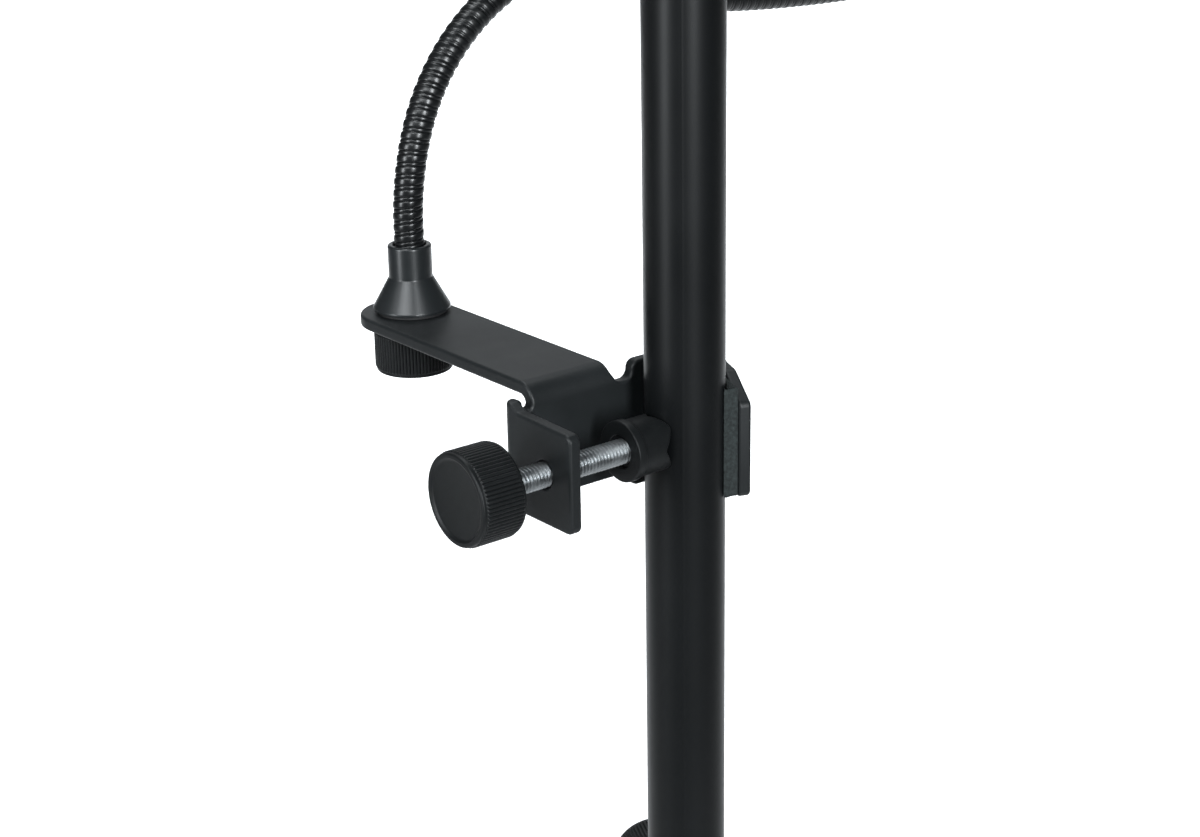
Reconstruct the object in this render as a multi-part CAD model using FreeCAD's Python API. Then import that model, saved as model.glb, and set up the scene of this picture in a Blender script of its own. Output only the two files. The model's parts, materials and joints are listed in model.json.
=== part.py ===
"""Music stand with a clamp-on gooseneck arm.

Millimetres, +Z up. The origin lies on the mast axis at floor level. The music side of
the desk faces -Y. The clamp's screw runs along +X and its arm points along +Y.
"""
import FreeCAD, Part
import math
import os

from FreeCAD import Vector

# ---- driving dimensions -------------------------------------------------------------

# upright
MAST_R = 12.5                 # upper tube
LOWER_R = 15.0                # lower tube
TUBE_WALL = 1.5
RUN = 0.06                    # radial clearance of a running fit
HUB_Z = 50.0                  # underside of the base hub
HUB_HEIGHT = 60.0
HUB_R = 26.0
HUB_FLOOR = 6.0               # solid floor of the hub, under the lower tube
HUB_BOLT_R = 5.0              # M10 bolt through the hub into the plug
HUB_BOLT_FLATS = 17.0
HUB_BOLT_HEAD = 6.4
HUB_BOLT_LENGTH = 26.0
HUB_WASHER = 2.0
PLUG_LENGTH = 22.0
LOWER_TUBE_TOP = 640.0
MAST_Z = 300.0                # lower end of the upper tube, inside the lower one
MAST_TOP = 1128.0
GLIDE_HEAD = 10.0             # glide below the tube's end
GLIDE_NECK = 30.0             # glide inside the tube
GLIDE_SCREW_R = 3.0
PIN_DROP = 18.0               # lug pin below the tube's top
PIN_R = 2.0
LUG_PLUG = 34.0               # lug inside the tube
LUG_COLLAR = 6.0

# legs
LEG_R = 9.5
LEG_WALL = 1.5
LEG_AXIS_Z = 72.0             # where a leg leaves the hub
LEG_END_Z = 12.7              # where it lies along the floor
LEG_START = 16.5              # radius of its inner end
LEG_BEND_AT = 58.0
LEG_BEND_R = 60.0
LEG_BEND_ANGLE = 35.0
LEG_END = 243.0
FOOT_R = 12.9
FOOT_END = 249.0              # reach of the rubber foot
FOOT_LENGTH = 34.0
FOOT_FILLET = 2.0
LEG_ANGLES = (0.0, 120.0, 240.0)

# height clutch
COLLAR_R = 21.0
COLLAR_Z = 605.0
COLLAR_TOP = 650.0
KNOB_HEIGHT = 625.5           # height of the clutch knob's axis
KNOB_BEARING = 64.8           # its bearing, from +X towards +Y
BOSS_R = 11.5
BOSS_END = 28.0
CLUTCH_KNOB_AT = 31.0         # rear face of the clutch knob, from the mast axis
INSERT_AT = 20.2              # inner end of the brass insert
INSERT_R = 6.0
LINER_BOTTOM = 598.0
LINER_FLANGE = 2.5
SHOE_AT = 8.0                 # inner corner of the pressure shoe
SHOE_R = 4.5
SHOE_LENGTH = 9.0
SCREW_R = 3.95                # M8 thread
SCREW_HOLE = 4.6              # clearance hole for the clutch screw
FIT = 0.03                    # radial clearance of a fixed joint

# knob head shared by the clutch and the clamp
KNOB_R = 14.45
KNOB_LENGTH = 15.2
KNOB_RIM = 2.2                # fillet of its front rim
KNOB_BORE = 10.03

# tilting head
TILT_Z = 1162.0
LUG_HALF = 8.0                # half width of the lug along X
LUG_R = 13.0
CHEEK = 2.5                   # thickness of the angle plates
TILT_WASHER = 1.0
TILT_WASHER_R = 11.0
TILT_HOLE = 4.05              # running fit on the M8 tilt bolt
TILT_BOLT_R = 3.97
TILT_FLATS = 13.0
TILT_HEAD = 5.3
TILT_NUT = 8.0
SPRING_WASHER = 1.2
CHEEK_CLEAR = 0.2

# desk
DESK_HALF = 250.0
DESK_LOW = -120.0             # below the tilt axis, along the desk
DESK_HIGH = 220.0
DESK_GAP = 24.0               # from the tilt axis to the desk's back
DESK_SHEET = 1.2
DESK_BEND = 3.0
SHELF_DEPTH = 52.0
SHELF_UP = 12.0
HEM = 9.0
ANGLE_HALF = 33.0             # half height of the angle plates
ANGLE_FLANGE = 32.0           # width of their flange, and where its rivets sit
RIVET_Z = 22.0
RIVET_R = 2.4
RIVET_HEAD_R = 4.0
RIVET_HEAD = 1.6
DESK_TILT = 20.0              # lean back from upright
DESK_CORNER = 22.0

# clamp: heights are counted from the screw axis
CLAMP_Z = 800.0
PLATE = 4.1
JAW_X = -54.7                 # outer face of the front jaw
JAW_EDGE = -13.3              # its free edge
WEB_Y = 20.3                  # outer face of the web
JAW_TOP = 15.2                # the front jaw, which rises to its bend
JAW_RISE = ((12.2, 15.8), (16.2, 17.8))
JAW_FLOOR = -15.7
WEB_TOP = 20.6
REAR_FLOOR = -20.6
REAR_LEAN = 22.0              # how far the rear jaw leans in
REAR_SEAT = 14.7              # from the mast axis to its inner face
REAR_REACH = 8.2              # how far it reaches past the seat
WRAP_BEND_R = 2.6             # bend radius of the jaws at mid thickness
ARM_BEND_R = 4.5              # and of the arm
ARM_X0 = -45.8
ARM_X1 = -15.0
ARM_TOP = 21.15
ARM_END_Y = 105.9             # centre of the arm's round end
NOTCH_X = -7.3
NOTCH_FLOOR = 15.0
SLOT_WIDTH = 3.4
SLOT_FLOOR = 13.8
REAR_FALL = ((-20.0, 0.0), (-14.5, 3.7), (-6.0, 3.7), (8.2, 10.4))  # how its top falls along the reach
LOWER_STEP_X = -12.0          # the web's lower edge steps down past here
PAD_REACH = 15.0              # foam pad's rear edge, behind the seat
PAD_FLOOR = -19.8
PAD_TOP = 15.5
PAD_THICK = 5.4
FOOT_BACK = -25.7             # rear face of the clamp foot
FOOT_PAD_R = 9.6
FOOT_BODY_R = 9.0
FOOT_FLANGE = 3.0
FOOT_SOCKET = 6.0             # depth of the screw's socket
FOOT_GROOVE = 25.0            # slope of the V groove's flanks
THUMB_KNOB_X = -70.8          # rear face of the thumb knob

# gooseneck base
CONE_R = 12.8
SLEEVE_R = 7.25
CONE_TOP = 33.2
SLEEVE_TOP = 44.1
CONE_WASHER = 1.15
LOCK_KNOB_R = 13.1
LOCK_KNOB_FLOOR = 1.5
LOCK_WASHER = 1.4

# gooseneck: a flat curve across the stand, from the sleeve to the ferrule
NECK_R = 5.0
NECK_RISE = 14.0              # straight run above its seat
NECK_AT = (-29.0, 104.7)      # the neck's stud, a little off the middle of the arm's end
NECK_SEAT = 36.0
NECK_BENDS = (                # bend radius, turned angle (clockwise is positive)
    (97.0, 18.0),
    (73.0, 42.0),
    (67.0, 60.0),
    (92.0, -25.5),
    (713.0, -4.5),
    (220.0, -7.0),
)
NECK_JOINTS = (1, 2, 4)       # a joint lies at the end of these bends
JOINT_GAP = 0.35
FERRULE_R = 7.0
FERRULE_LENGTH = 18.0
FERRULE_GRIP = 8.0            # how far the neck enters it
STUD_R = 4.76                 # 3/8 inch accessory thread
STUD_LENGTH = 11.0
STUD_SHANK_R = 4.1
STUD_RELIEF = 0.6             # plain neck between the ferrule and the thread
LOCK_KNOB_RIM = 2.0


# ---- helpers ------------------------------------------------------------------------

def cylinder(radius, start, axis, length):
    """Solid cylinder from a start point along an axis."""
    return Part.makeCylinder(radius, length, Vector(*start), Vector(*axis))


def ring(outer, inner, start, axis, length):
    """Tube or washer from a start point along an axis."""
    return cylinder(outer, start, axis, length).cut(cylinder(inner, start, axis, length))


def block(low, high):
    """Box between two opposite corners."""
    size = [high[i] - low[i] for i in range(3)]
    return Part.makeBox(size[0], size[1], size[2], Vector(*low))


def turned(profile, centre=(0.0, 0.0)):
    """Solid of revolution about a vertical axis from (radius, z) points."""
    points = [Vector(r, 0, z) for r, z in profile]
    face = Part.Face(Part.makePolygon(points + points[:1]))
    solid = face.revolve(Vector(0, 0, 0), Vector(0, 0, 1), 360)
    solid.translate(Vector(centre[0], centre[1], 0))
    return solid


def hexagon(across_flats, start, axis, length):
    """Hexagonal prism, for bolt heads and nuts."""
    radius = across_flats / math.sqrt(3)
    points = []
    for k in range(7):
        angle = math.radians(60 * k)
        points.append(Vector(radius * math.cos(angle), radius * math.sin(angle), 0))
    prism = Part.Face(Part.makePolygon(points)).extrude(Vector(0, 0, length))
    prism.Placement = FreeCAD.Placement(
        Vector(*start), FreeCAD.Rotation(Vector(0, 0, 1), Vector(*axis)))
    return prism


def bent_strip(points, radius, thickness):
    """Face of a bent strip in the XY plane: a polyline of mid thickness with round bends."""
    left = []
    right = []
    half = thickness / 2
    corners = [Vector(x, y, 0) for x, y in points]
    heads = [(corners[k + 1] - corners[k]).normalize() for k in range(len(corners) - 1)]
    normals = [Vector(-h.y, h.x, 0) for h in heads]
    left_at = corners[0] + normals[0] * half
    right_at = corners[0] - normals[0] * half
    left_start = left_at
    right_start = right_at
    for k in range(1, len(corners) - 1):
        turn = heads[k - 1].getAngle(heads[k])
        side = 1.0 if heads[k - 1].cross(heads[k]).z > 0 else -1.0
        back = radius * math.tan(turn / 2)
        enter = corners[k] - heads[k - 1] * back
        leave = corners[k] + heads[k] * back
        centre = enter + normals[k - 1] * (side * radius)
        middle = (corners[k] - centre).normalize()
        for sign, edges in ((1.0, left), (-1.0, right)):
            arc_radius = radius - side * sign * half
            begin = enter + normals[k - 1] * (sign * half)
            end = leave + normals[k] * (sign * half)
            start = left_at if sign > 0 else right_at
            edges.append(Part.makeLine(start, begin))
            edges.append(Part.Arc(begin, centre + middle * arc_radius, end).toShape())
            if sign > 0:
                left_at = end
            else:
                right_at = end
    left_end = corners[-1] + normals[-1] * half
    right_end = corners[-1] - normals[-1] * half
    left.append(Part.makeLine(left_at, left_end))
    right.append(Part.makeLine(right_at, right_end))
    caps = [Part.makeLine(left_end, right_end), Part.makeLine(left_start, right_start)]
    return Part.Face(Part.Wire(Part.__sortEdges__(left + right + caps)))


def in_yz_plane(x):
    """Placement that lays an XY drawing in the YZ plane at x."""
    turn = FreeCAD.Rotation(Vector(0, 1, 0), Vector(0, 0, 1), Vector(1, 0, 0))
    return FreeCAD.Placement(Vector(x, 0, 0), turn)


def prism_along_x(outline, x0, x1):
    """Extrude a closed (y, z) outline along X."""
    points = [Vector(x0, y, z) for y, z in outline]
    return Part.Face(Part.makePolygon(points + points[:1])).extrude(Vector(x1 - x0, 0, 0))


def round_slot(x0, x1, y0, y1, floor, top):
    """Upright slot with a round floor, open at the top, cut through along Y."""
    radius = (x1 - x0) / 2
    middle = (x0 + x1) / 2
    body = block((x0, y0, floor + radius), (x1, y1, top))
    return body.fuse(cylinder(radius, (middle, y0, floor + radius), (0, 1, 0), y1 - y0))


def along(bearing, distance, height):
    """Point at a bearing and distance from the mast axis."""
    angle = math.radians(bearing)
    return (distance * math.cos(angle), distance * math.sin(angle), height)


def save(name, shape):
    """Write one piece, or one group of alike pieces, as a STEP file."""
    shape.exportStep("parts/" + name + ".step")


# ---- base ---------------------------------------------------------------------------

def leg_edges():
    """Mid line of a leg along +X: out, down in a double bend, and out along the floor."""
    turn = math.radians(LEG_BEND_ANGLE)
    sweep = LEG_BEND_R * math.sin(turn)
    sag = LEG_BEND_R * (1 - math.cos(turn))
    half_sweep = LEG_BEND_R * math.sin(turn / 2)
    half_sag = LEG_BEND_R * (1 - math.cos(turn / 2))
    drop = LEG_AXIS_Z - LEG_END_Z - 2 * sag
    run = drop / math.tan(turn)
    a = Vector(LEG_START, 0, LEG_AXIS_Z)
    b = Vector(LEG_BEND_AT, 0, LEG_AXIS_Z)
    c = b + Vector(sweep, 0, -sag)
    d = c + Vector(run, 0, -drop)
    e = d + Vector(sweep, 0, -sag)
    f = Vector(LEG_END, 0, LEG_END_Z)
    return [
        Part.makeLine(a, b),
        Part.Arc(b, b + Vector(half_sweep, 0, -half_sag), c).toShape(),
        Part.makeLine(c, d),
        Part.Arc(d, e - Vector(half_sweep, 0, -half_sag), e).toShape(),
        Part.makeLine(e, f),
    ]


def bar_along(edges, radius):
    """Round bar swept along tangent edges."""
    wire = Part.Wire(edges)
    start = edges[0].valueAt(edges[0].FirstParameter)
    heading = edges[0].tangentAt(edges[0].FirstParameter)
    profile = Part.Wire([Part.makeCircle(radius, start, heading)])
    return wire.makePipeShell([profile], True, True)


def make_leg():
    """Bent steel tube."""
    edges = leg_edges()
    return bar_along(edges, LEG_R).cut(bar_along(edges, LEG_R - LEG_WALL))


def make_foot():
    """Rubber cap over the end of a leg, flat where it stands on the floor."""
    start = FOOT_END - FOOT_LENGTH
    cap = cylinder(FOOT_R, (start, 0, LEG_END_Z), (1, 0, 0), FOOT_LENGTH)
    cap = cap.makeFillet(FOOT_FILLET, [e for e in cap.Edges if e.Length > FOOT_LENGTH + 5])
    depth = LEG_END - start + FIT
    cap = cap.cut(cylinder(LEG_R + FIT, (start, 0, LEG_END_Z), (1, 0, 0), depth))
    return cap.cut(block((start, -FOOT_R, -FOOT_R), (FOOT_END, FOOT_R, 0)))


def make_hub():
    """Hub that holds the three legs and the lower tube."""
    top = HUB_Z + HUB_HEIGHT
    hub = turned([(0, HUB_Z), (HUB_R - 2, HUB_Z), (HUB_R, HUB_Z + 2), (HUB_R, top - 18),
                  (LOWER_R + 4, top - 3), (LOWER_R + 4, top), (0, top)])
    seat = HUB_Z + HUB_FLOOR
    hub = hub.cut(cylinder(LOWER_R + FIT, (0, 0, seat), (0, 0, 1), HUB_HEIGHT))
    hub = hub.cut(cylinder(HUB_BOLT_R + 0.2, (0, 0, HUB_Z), (0, 0, 1), HUB_FLOOR))
    for bearing in LEG_ANGLES:
        hub = hub.cut(cylinder(LEG_R + FIT, (0, 0, LEG_AXIS_Z), along(bearing, 1, 0), HUB_R + 5))
    return hub


def base_parts():
    """Hub, legs, feet, lower tube and the bolt that pulls the tube into the hub."""
    parts = {"base_hub": make_hub()}
    for number, bearing in enumerate(LEG_ANGLES, 1):
        for name, shape in (("leg", make_leg()), ("rubber_foot", make_foot())):
            shape.rotate(Vector(0, 0, 0), Vector(0, 0, 1), bearing)
            parts["%s_%d" % (name, number)] = shape
    seat = HUB_Z + HUB_FLOOR
    tube = ring(LOWER_R, LOWER_R - TUBE_WALL, (0, 0, seat), (0, 0, 1), LOWER_TUBE_TOP - seat)
    radial = along(KNOB_BEARING, 1, 0)
    hole = cylinder(SCREW_HOLE, along(KNOB_BEARING, MAST_R, KNOB_HEIGHT), radial, LOWER_R)
    parts["lower_tube"] = tube.cut(hole)
    up = (0, 0, 1)
    plug_r = LOWER_R - TUBE_WALL - FIT
    under = HUB_Z - HUB_WASHER
    parts["tube_plug"] = ring(plug_r, HUB_BOLT_R + FIT, (0, 0, seat), up, PLUG_LENGTH)
    parts["hub_washer"] = ring(12, HUB_BOLT_R + 0.2, (0, 0, under), up, HUB_WASHER)
    head = hexagon(HUB_BOLT_FLATS, (0, 0, under - HUB_BOLT_HEAD), up, HUB_BOLT_HEAD)
    shank = cylinder(HUB_BOLT_R, (0, 0, under - 1), up, HUB_BOLT_LENGTH)
    parts["hub_bolt"] = head.fuse(shank)
    return parts


# ---- height clutch ------------------------------------------------------------------

def knob_head(face, axis):
    """Moulded knob. face is the centre of its rear face, axis points away from it."""
    knob = cylinder(KNOB_R, face, axis, KNOB_LENGTH)
    far = Vector(*face) + Vector(*axis) * KNOB_LENGTH
    rim = [e for e in knob.Edges if (e.CenterOfMass - far).Length < 1]
    knob = knob.makeFillet(KNOB_RIM, rim)
    return knob.cut(cylinder(SCREW_R + 0.01, face, axis, KNOB_BORE))


def clutch_parts():
    """Collar with its liner, threaded insert, pressure shoe, screw and knob."""
    up = (0, 0, 1)
    radial = along(KNOB_BEARING, 1, 0)
    centre = (0, 0, KNOB_HEIGHT)
    seat = LOWER_TUBE_TOP + LINER_FLANGE
    across = cylinder(SCREW_HOLE, centre, radial, BOSS_END + 1)
    collar = turned([(0, COLLAR_Z), (COLLAR_R - 3, COLLAR_Z), (COLLAR_R, COLLAR_Z + 3),
                     (COLLAR_R, COLLAR_TOP - 4), (COLLAR_R - 4, COLLAR_TOP), (0, COLLAR_TOP)])
    collar = collar.fuse(cylinder(BOSS_R, centre, radial, BOSS_END))
    collar = collar.cut(cylinder(LOWER_R + FIT, (0, 0, COLLAR_Z), up, seat - COLLAR_Z))
    collar = collar.cut(cylinder(MAST_R + 0.3, (0, 0, seat), up, COLLAR_TOP - seat))
    insert_from = along(KNOB_BEARING, INSERT_AT, KNOB_HEIGHT)
    insert_length = BOSS_END - INSERT_AT
    collar = collar.cut([across, cylinder(INSERT_R + FIT, insert_from, radial, insert_length + 1)])
    insert = ring(INSERT_R, SCREW_R + 0.07, insert_from, radial, insert_length)

    liner_r = LOWER_R - TUBE_WALL - FIT
    liner = cylinder(liner_r, (0, 0, LINER_BOTTOM), up, LOWER_TUBE_TOP - LINER_BOTTOM)
    liner = liner.fuse(cylinder(LOWER_R, (0, 0, LOWER_TUBE_TOP), up, LINER_FLANGE))
    liner = liner.cut([cylinder(MAST_R + RUN, (0, 0, LINER_BOTTOM), up, seat - LINER_BOTTOM), across])

    shoe = cylinder(SHOE_R, along(KNOB_BEARING, SHOE_AT, KNOB_HEIGHT), radial, SHOE_LENGTH)
    shoe = shoe.cut(cylinder(MAST_R + RUN, (0, 0, LINER_BOTTOM), up, seat - LINER_BOTTOM))

    screw_from = SHOE_AT + SHOE_LENGTH + 0.02
    screw_length = CLUTCH_KNOB_AT + 10 - screw_from
    screw = cylinder(SCREW_R, along(KNOB_BEARING, screw_from, KNOB_HEIGHT), radial, screw_length)
    knob = knob_head(along(KNOB_BEARING, CLUTCH_KNOB_AT, KNOB_HEIGHT), radial)
    return {"clutch_collar": collar, "collar_liner": liner, "clutch_insert": insert,
            "pressure_shoe": shoe, "clutch_screw": screw, "clutch_knob": knob}


# ---- mast ---------------------------------------------------------------------------

def mast_parts():
    """Upper tube, the glide at its lower end and the lug at its top."""
    up = (0, 0, 1)
    inner = MAST_R - TUBE_WALL
    tube = ring(MAST_R, inner, (0, 0, MAST_Z), up, MAST_TOP - MAST_Z)
    pin_z = MAST_TOP - PIN_DROP
    pin_hole = cylinder(PIN_R + 0.02, (0, -MAST_R - 1, pin_z), (0, 1, 0), 2 * MAST_R + 2)

    glide_floor = MAST_Z - GLIDE_HEAD - 0.1
    glide = cylinder(LOWER_R - TUBE_WALL - 0.08, (0, 0, glide_floor), up, GLIDE_HEAD)
    glide = glide.fuse(cylinder(inner - 0.08, (0, 0, MAST_Z - 1), up, GLIDE_NECK))
    glide = glide.cut(cylinder(GLIDE_SCREW_R + 0.08, (0, 0, glide_floor), up, 2 * GLIDE_NECK))
    glide = glide.cut(cylinder(6, (0, 0, glide_floor), up, 4.1))

    plug_z = MAST_Z - 1 + GLIDE_NECK + 0.2
    plug = ring(inner - FIT, GLIDE_SCREW_R + 0.02, (0, 0, plug_z), up, 14)
    screw = cylinder(5, (0, 0, glide_floor + 0.6), up, 3.4)
    screw = screw.fuse(cylinder(GLIDE_SCREW_R, (0, 0, glide_floor + 3.9), up, 46))

    lug = cylinder(inner - FIT, (0, 0, MAST_TOP - LUG_PLUG), up, LUG_PLUG)
    lug = lug.fuse(cylinder(MAST_R + 0.8, (0, 0, MAST_TOP), up, LUG_COLLAR))
    tongue = block((-LUG_HALF, -10, MAST_TOP + LUG_COLLAR - 2), (LUG_HALF, 10, TILT_Z))
    eye = cylinder(LUG_R, (-LUG_HALF, 0, TILT_Z), (1, 0, 0), 2 * LUG_HALF)
    lug = lug.fuse([tongue, eye])
    lug = lug.cut([cylinder(TILT_HOLE, (-LUG_HALF, 0, TILT_Z), (1, 0, 0), 2 * LUG_HALF), pin_hole])
    return {
        "mast_tube": tube.cut(pin_hole),
        "glide_bush": glide,
        "glide_plug": plug,
        "glide_screw": screw,
        "tilt_lug": lug,
        "lug_pin": cylinder(PIN_R, (0, -MAST_R, pin_z), (0, 1, 0), 2 * MAST_R),
    }


# ---- desk ---------------------------------------------------------------------------

def lean(shape):
    """Lean a desk piece, drawn upright, back about the tilt axis."""
    shape.rotate(Vector(0, 0, TILT_Z), Vector(1, 0, 0), -DESK_TILT)
    return shape


def make_desk():
    """Folded sheet: hem at the top, panel, shelf and upturned front edge."""
    mid = DESK_SHEET / 2
    back = -DESK_GAP - mid
    low = TILT_Z + DESK_LOW
    high = TILT_Z + DESK_HIGH
    front = back - SHELF_DEPTH
    outline = [(back + HEM, high), (back, high), (back, low), (front, low), (front, low + SHELF_UP)]
    sheet = bent_strip(outline, DESK_BEND, DESK_SHEET)
    sheet.Placement = in_yz_plane(-DESK_HALF)
    desk = sheet.extrude(Vector(2 * DESK_HALF, 0, 0))
    for side in (-1, 1):
        corner = block((0, -200, high - DESK_CORNER), (DESK_CORNER, 200, high + 5))
        round_part = cylinder(DESK_CORNER, (0, -200, high - DESK_CORNER), (0, 1, 0), 400)
        corner = corner.cut(round_part)
        if side < 0:
            corner = corner.mirror(Vector(0, 0, 0), Vector(1, 0, 0))
        corner.translate(Vector(side * (DESK_HALF - DESK_CORNER), 0, 0))
        desk = desk.cut(corner)
    return desk


def make_angle(side):
    """Angle plate on the desk's back: a flange riveted to the desk and a cheek at the lug."""
    cheek_x = side * (LUG_HALF + TILT_WASHER + CHEEK_CLEAR + CHEEK / 2)
    flange_y = -DESK_GAP + CHEEK / 2
    outline = [(cheek_x + side * ANGLE_FLANGE, flange_y), (cheek_x, flange_y), (cheek_x, LUG_R + 1)]
    plate = bent_strip(outline, 3.0, CHEEK).extrude(Vector(0, 0, 2 * ANGLE_HALF))
    plate.translate(Vector(0, 0, TILT_Z - ANGLE_HALF))
    half = [(-DESK_GAP - 1, ANGLE_HALF), (-DESK_GAP + 4, ANGLE_HALF), (0, 14), (10, 10)]
    nose = [(y, TILT_Z - z) for y, z in half]
    nose.append((LUG_R + 1, TILT_Z))
    nose += [(y, TILT_Z + z) for y, z in reversed(half)]
    plate = plate.common(prism_along_x(nose, -60, 60))
    return plate.cut(cylinder(TILT_HOLE, (-60, 0, TILT_Z), (1, 0, 0), 120))


def rivet_places():
    """Rivets through the angle plates' flanges: x and z."""
    places = []
    for side in (-1, 1):
        for height in (-RIVET_Z, RIVET_Z):
            places.append((side * ANGLE_FLANGE, TILT_Z + height))
    return places


def desk_parts():
    """Desk, its angle plates and rivets, and the tilt bolt with its washers and nut."""
    desk = make_desk()
    left = make_angle(-1)
    right = make_angle(1)
    rivets = []
    front = -DESK_GAP - DESK_SHEET
    for x, z in rivet_places():
        hole = cylinder(RIVET_R + 0.02, (x, front - 1, z), (0, 1, 0), DESK_SHEET + CHEEK + 2)
        desk = desk.cut(hole)
        left = left.cut(hole)
        right = right.cut(hole)
        stem = cylinder(RIVET_R, (x, front, z), (0, 1, 0), DESK_SHEET + CHEEK)
        head = cylinder(RIVET_HEAD_R, (x, -DESK_GAP + CHEEK, z), (0, 1, 0), RIVET_HEAD)
        rivets.append(stem.fuse(head))
    right_way = (1, 0, 0)
    out = LUG_HALF + TILT_WASHER + CHEEK_CLEAR + CHEEK
    nut_from = out + SPRING_WASHER
    head = hexagon(TILT_FLATS, (-out - TILT_HEAD, 0, TILT_Z), right_way, TILT_HEAD)
    shank = cylinder(TILT_BOLT_R, (-out - 1, 0, TILT_Z), right_way, 2 * out + TILT_NUT + 3)
    washers = []
    for x in (-LUG_HALF - TILT_WASHER - CHEEK_CLEAR / 2, LUG_HALF + CHEEK_CLEAR / 2):
        washers.append(ring(TILT_WASHER_R, TILT_HOLE, (x, 0, TILT_Z), right_way, TILT_WASHER))
    nut = hexagon(TILT_FLATS, (nut_from, 0, TILT_Z), right_way, TILT_NUT)
    parts = {
        "desk_panel": desk,
        "desk_angle_left": left,
        "desk_angle_right": right,
        "desk_rivets": Part.makeCompound(rivets),
        "tilt_bolt": shank.fuse(head),
        "tilt_washers": Part.makeCompound(washers),
        "tilt_spring_washer": ring(8, TILT_HOLE, (out, 0, TILT_Z), right_way, SPRING_WASHER),
        "tilt_nut": nut.cut(cylinder(TILT_BOLT_R + 0.01, (nut_from, 0, TILT_Z), right_way, TILT_NUT)),
    }
    return {name: lean(shape) for name, shape in parts.items()}


# ---- clamp --------------------------------------------------------------------------

def rear_axes():
    """Unit vectors of the rear jaw in plan: out through the plate, and along to its free edge."""
    angle = math.radians(REAR_LEAN)
    outward = Vector(math.cos(angle), -math.sin(angle), 0)
    forward = Vector(-math.sin(angle), -math.cos(angle), 0)
    return outward, forward


def make_bracket():
    """One bent plate: front jaw, web, rear jaw and the arm turned out of the web's top."""
    outward, forward = rear_axes()
    web_mid = WEB_Y - PLATE / 2
    jaw_mid = JAW_X + PLATE / 2
    seat = outward * (REAR_SEAT + PLATE / 2)
    to_web = (web_mid - seat.y) / forward.y
    corner = seat + forward * to_web
    tip = seat + forward * REAR_REACH
    plan = [(jaw_mid, JAW_EDGE), (jaw_mid, web_mid), (corner.x, web_mid), (tip.x, tip.y)]
    strip = bent_strip(plan, WRAP_BEND_R, PLATE)
    strip.translate(Vector(0, 0, REAR_FLOOR))
    wrap = strip.extrude(Vector(0, 0, WEB_TOP - REAR_FLOOR))

    lower_front = block((-80, -40, REAR_FLOOR - 1), (LOWER_STEP_X, 40, JAW_FLOOR))
    over = [(-40, JAW_TOP), (JAW_EDGE, JAW_TOP), *JAW_RISE, (40, JAW_RISE[-1][1]), (40, 40), (-40, 40)]
    outline = Part.makePolygon([Vector(-80, y, z) for y, z in over + over[:1]])
    upper_front = Part.Face(outline).extrude(Vector(ARM_X0 + 80, 0, 0))
    wrap = wrap.cut([lower_front, upper_front])
    wrap = wrap.cut(round_slot(ARM_X0 - SLOT_WIDTH, ARM_X0, 10, 40, SLOT_FLOOR, 40))
    wrap = wrap.cut(round_slot(ARM_X1, NOTCH_X, 10, 40, NOTCH_FLOOR, 40))
    wrap = wrap.cut(block((ARM_X0, 10, 12), (ARM_X1, 40, 40)))

    # the rear jaw's top falls away towards its free edge
    fall = [Vector(along, 0, WEB_TOP - drop) for along, drop in REAR_FALL]
    past = fall[-1] + Vector(4, 0, 0)
    over = [Vector(past.x, 0, WEB_TOP + 5), Vector(fall[0].x, 0, WEB_TOP + 5), fall[0]]
    wedge = Part.Face(Part.makePolygon(fall + [past] + over)).extrude(Vector(0, 20, 0))
    wedge.translate(Vector(0, -10, 0))
    heading = math.degrees(math.atan2(forward.y, forward.x))
    wedge.rotate(Vector(0, 0, 0), Vector(0, 0, 1), heading)
    wedge.translate(seat)
    wrap = wrap.cut(wedge)

    arm_mid = ARM_TOP - PLATE / 2
    arm_mid_x = (ARM_X0 + ARM_X1) / 2
    half_width = (ARM_X1 - ARM_X0) / 2
    side = [(web_mid, 12), (web_mid, arm_mid), (ARM_END_Y + half_width, arm_mid)]
    arm = bent_strip(side, ARM_BEND_R, PLATE)
    arm.Placement = in_yz_plane(ARM_X0)
    arm = arm.extrude(Vector(2 * half_width, 0, 0))
    keep = block((ARM_X0, 0, 0), (ARM_X1, ARM_END_Y, 40))
    keep = keep.fuse(cylinder(half_width, (arm_mid_x, ARM_END_Y, 0), (0, 0, 1), 40))
    arm = arm.common(keep)
    bracket = wrap.fuse(arm)
    bracket = bracket.cut(cylinder(SCREW_R + 0.07, (-80, 0, 0), (1, 0, 0), 40))
    bracket = bracket.cut(cylinder(SCREW_R + 0.1, (*NECK_AT, 0), (0, 0, 1), 40))
    return bracket.removeSplitter()


def make_pad():
    """Foam pad on the rear jaw, pressed to the mast's curve where they meet."""
    inner = REAR_SEAT - PAD_THICK
    pad = block((inner, -REAR_REACH, PAD_FLOOR), (REAR_SEAT - 0.02, PAD_REACH, PAD_TOP))
    pad.rotate(Vector(0, 0, 0), Vector(0, 0, 1), -REAR_LEAN)
    return pad.cut(cylinder(MAST_R + 0.12, (0, 0, -40), (0, 0, 1), 80))


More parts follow.
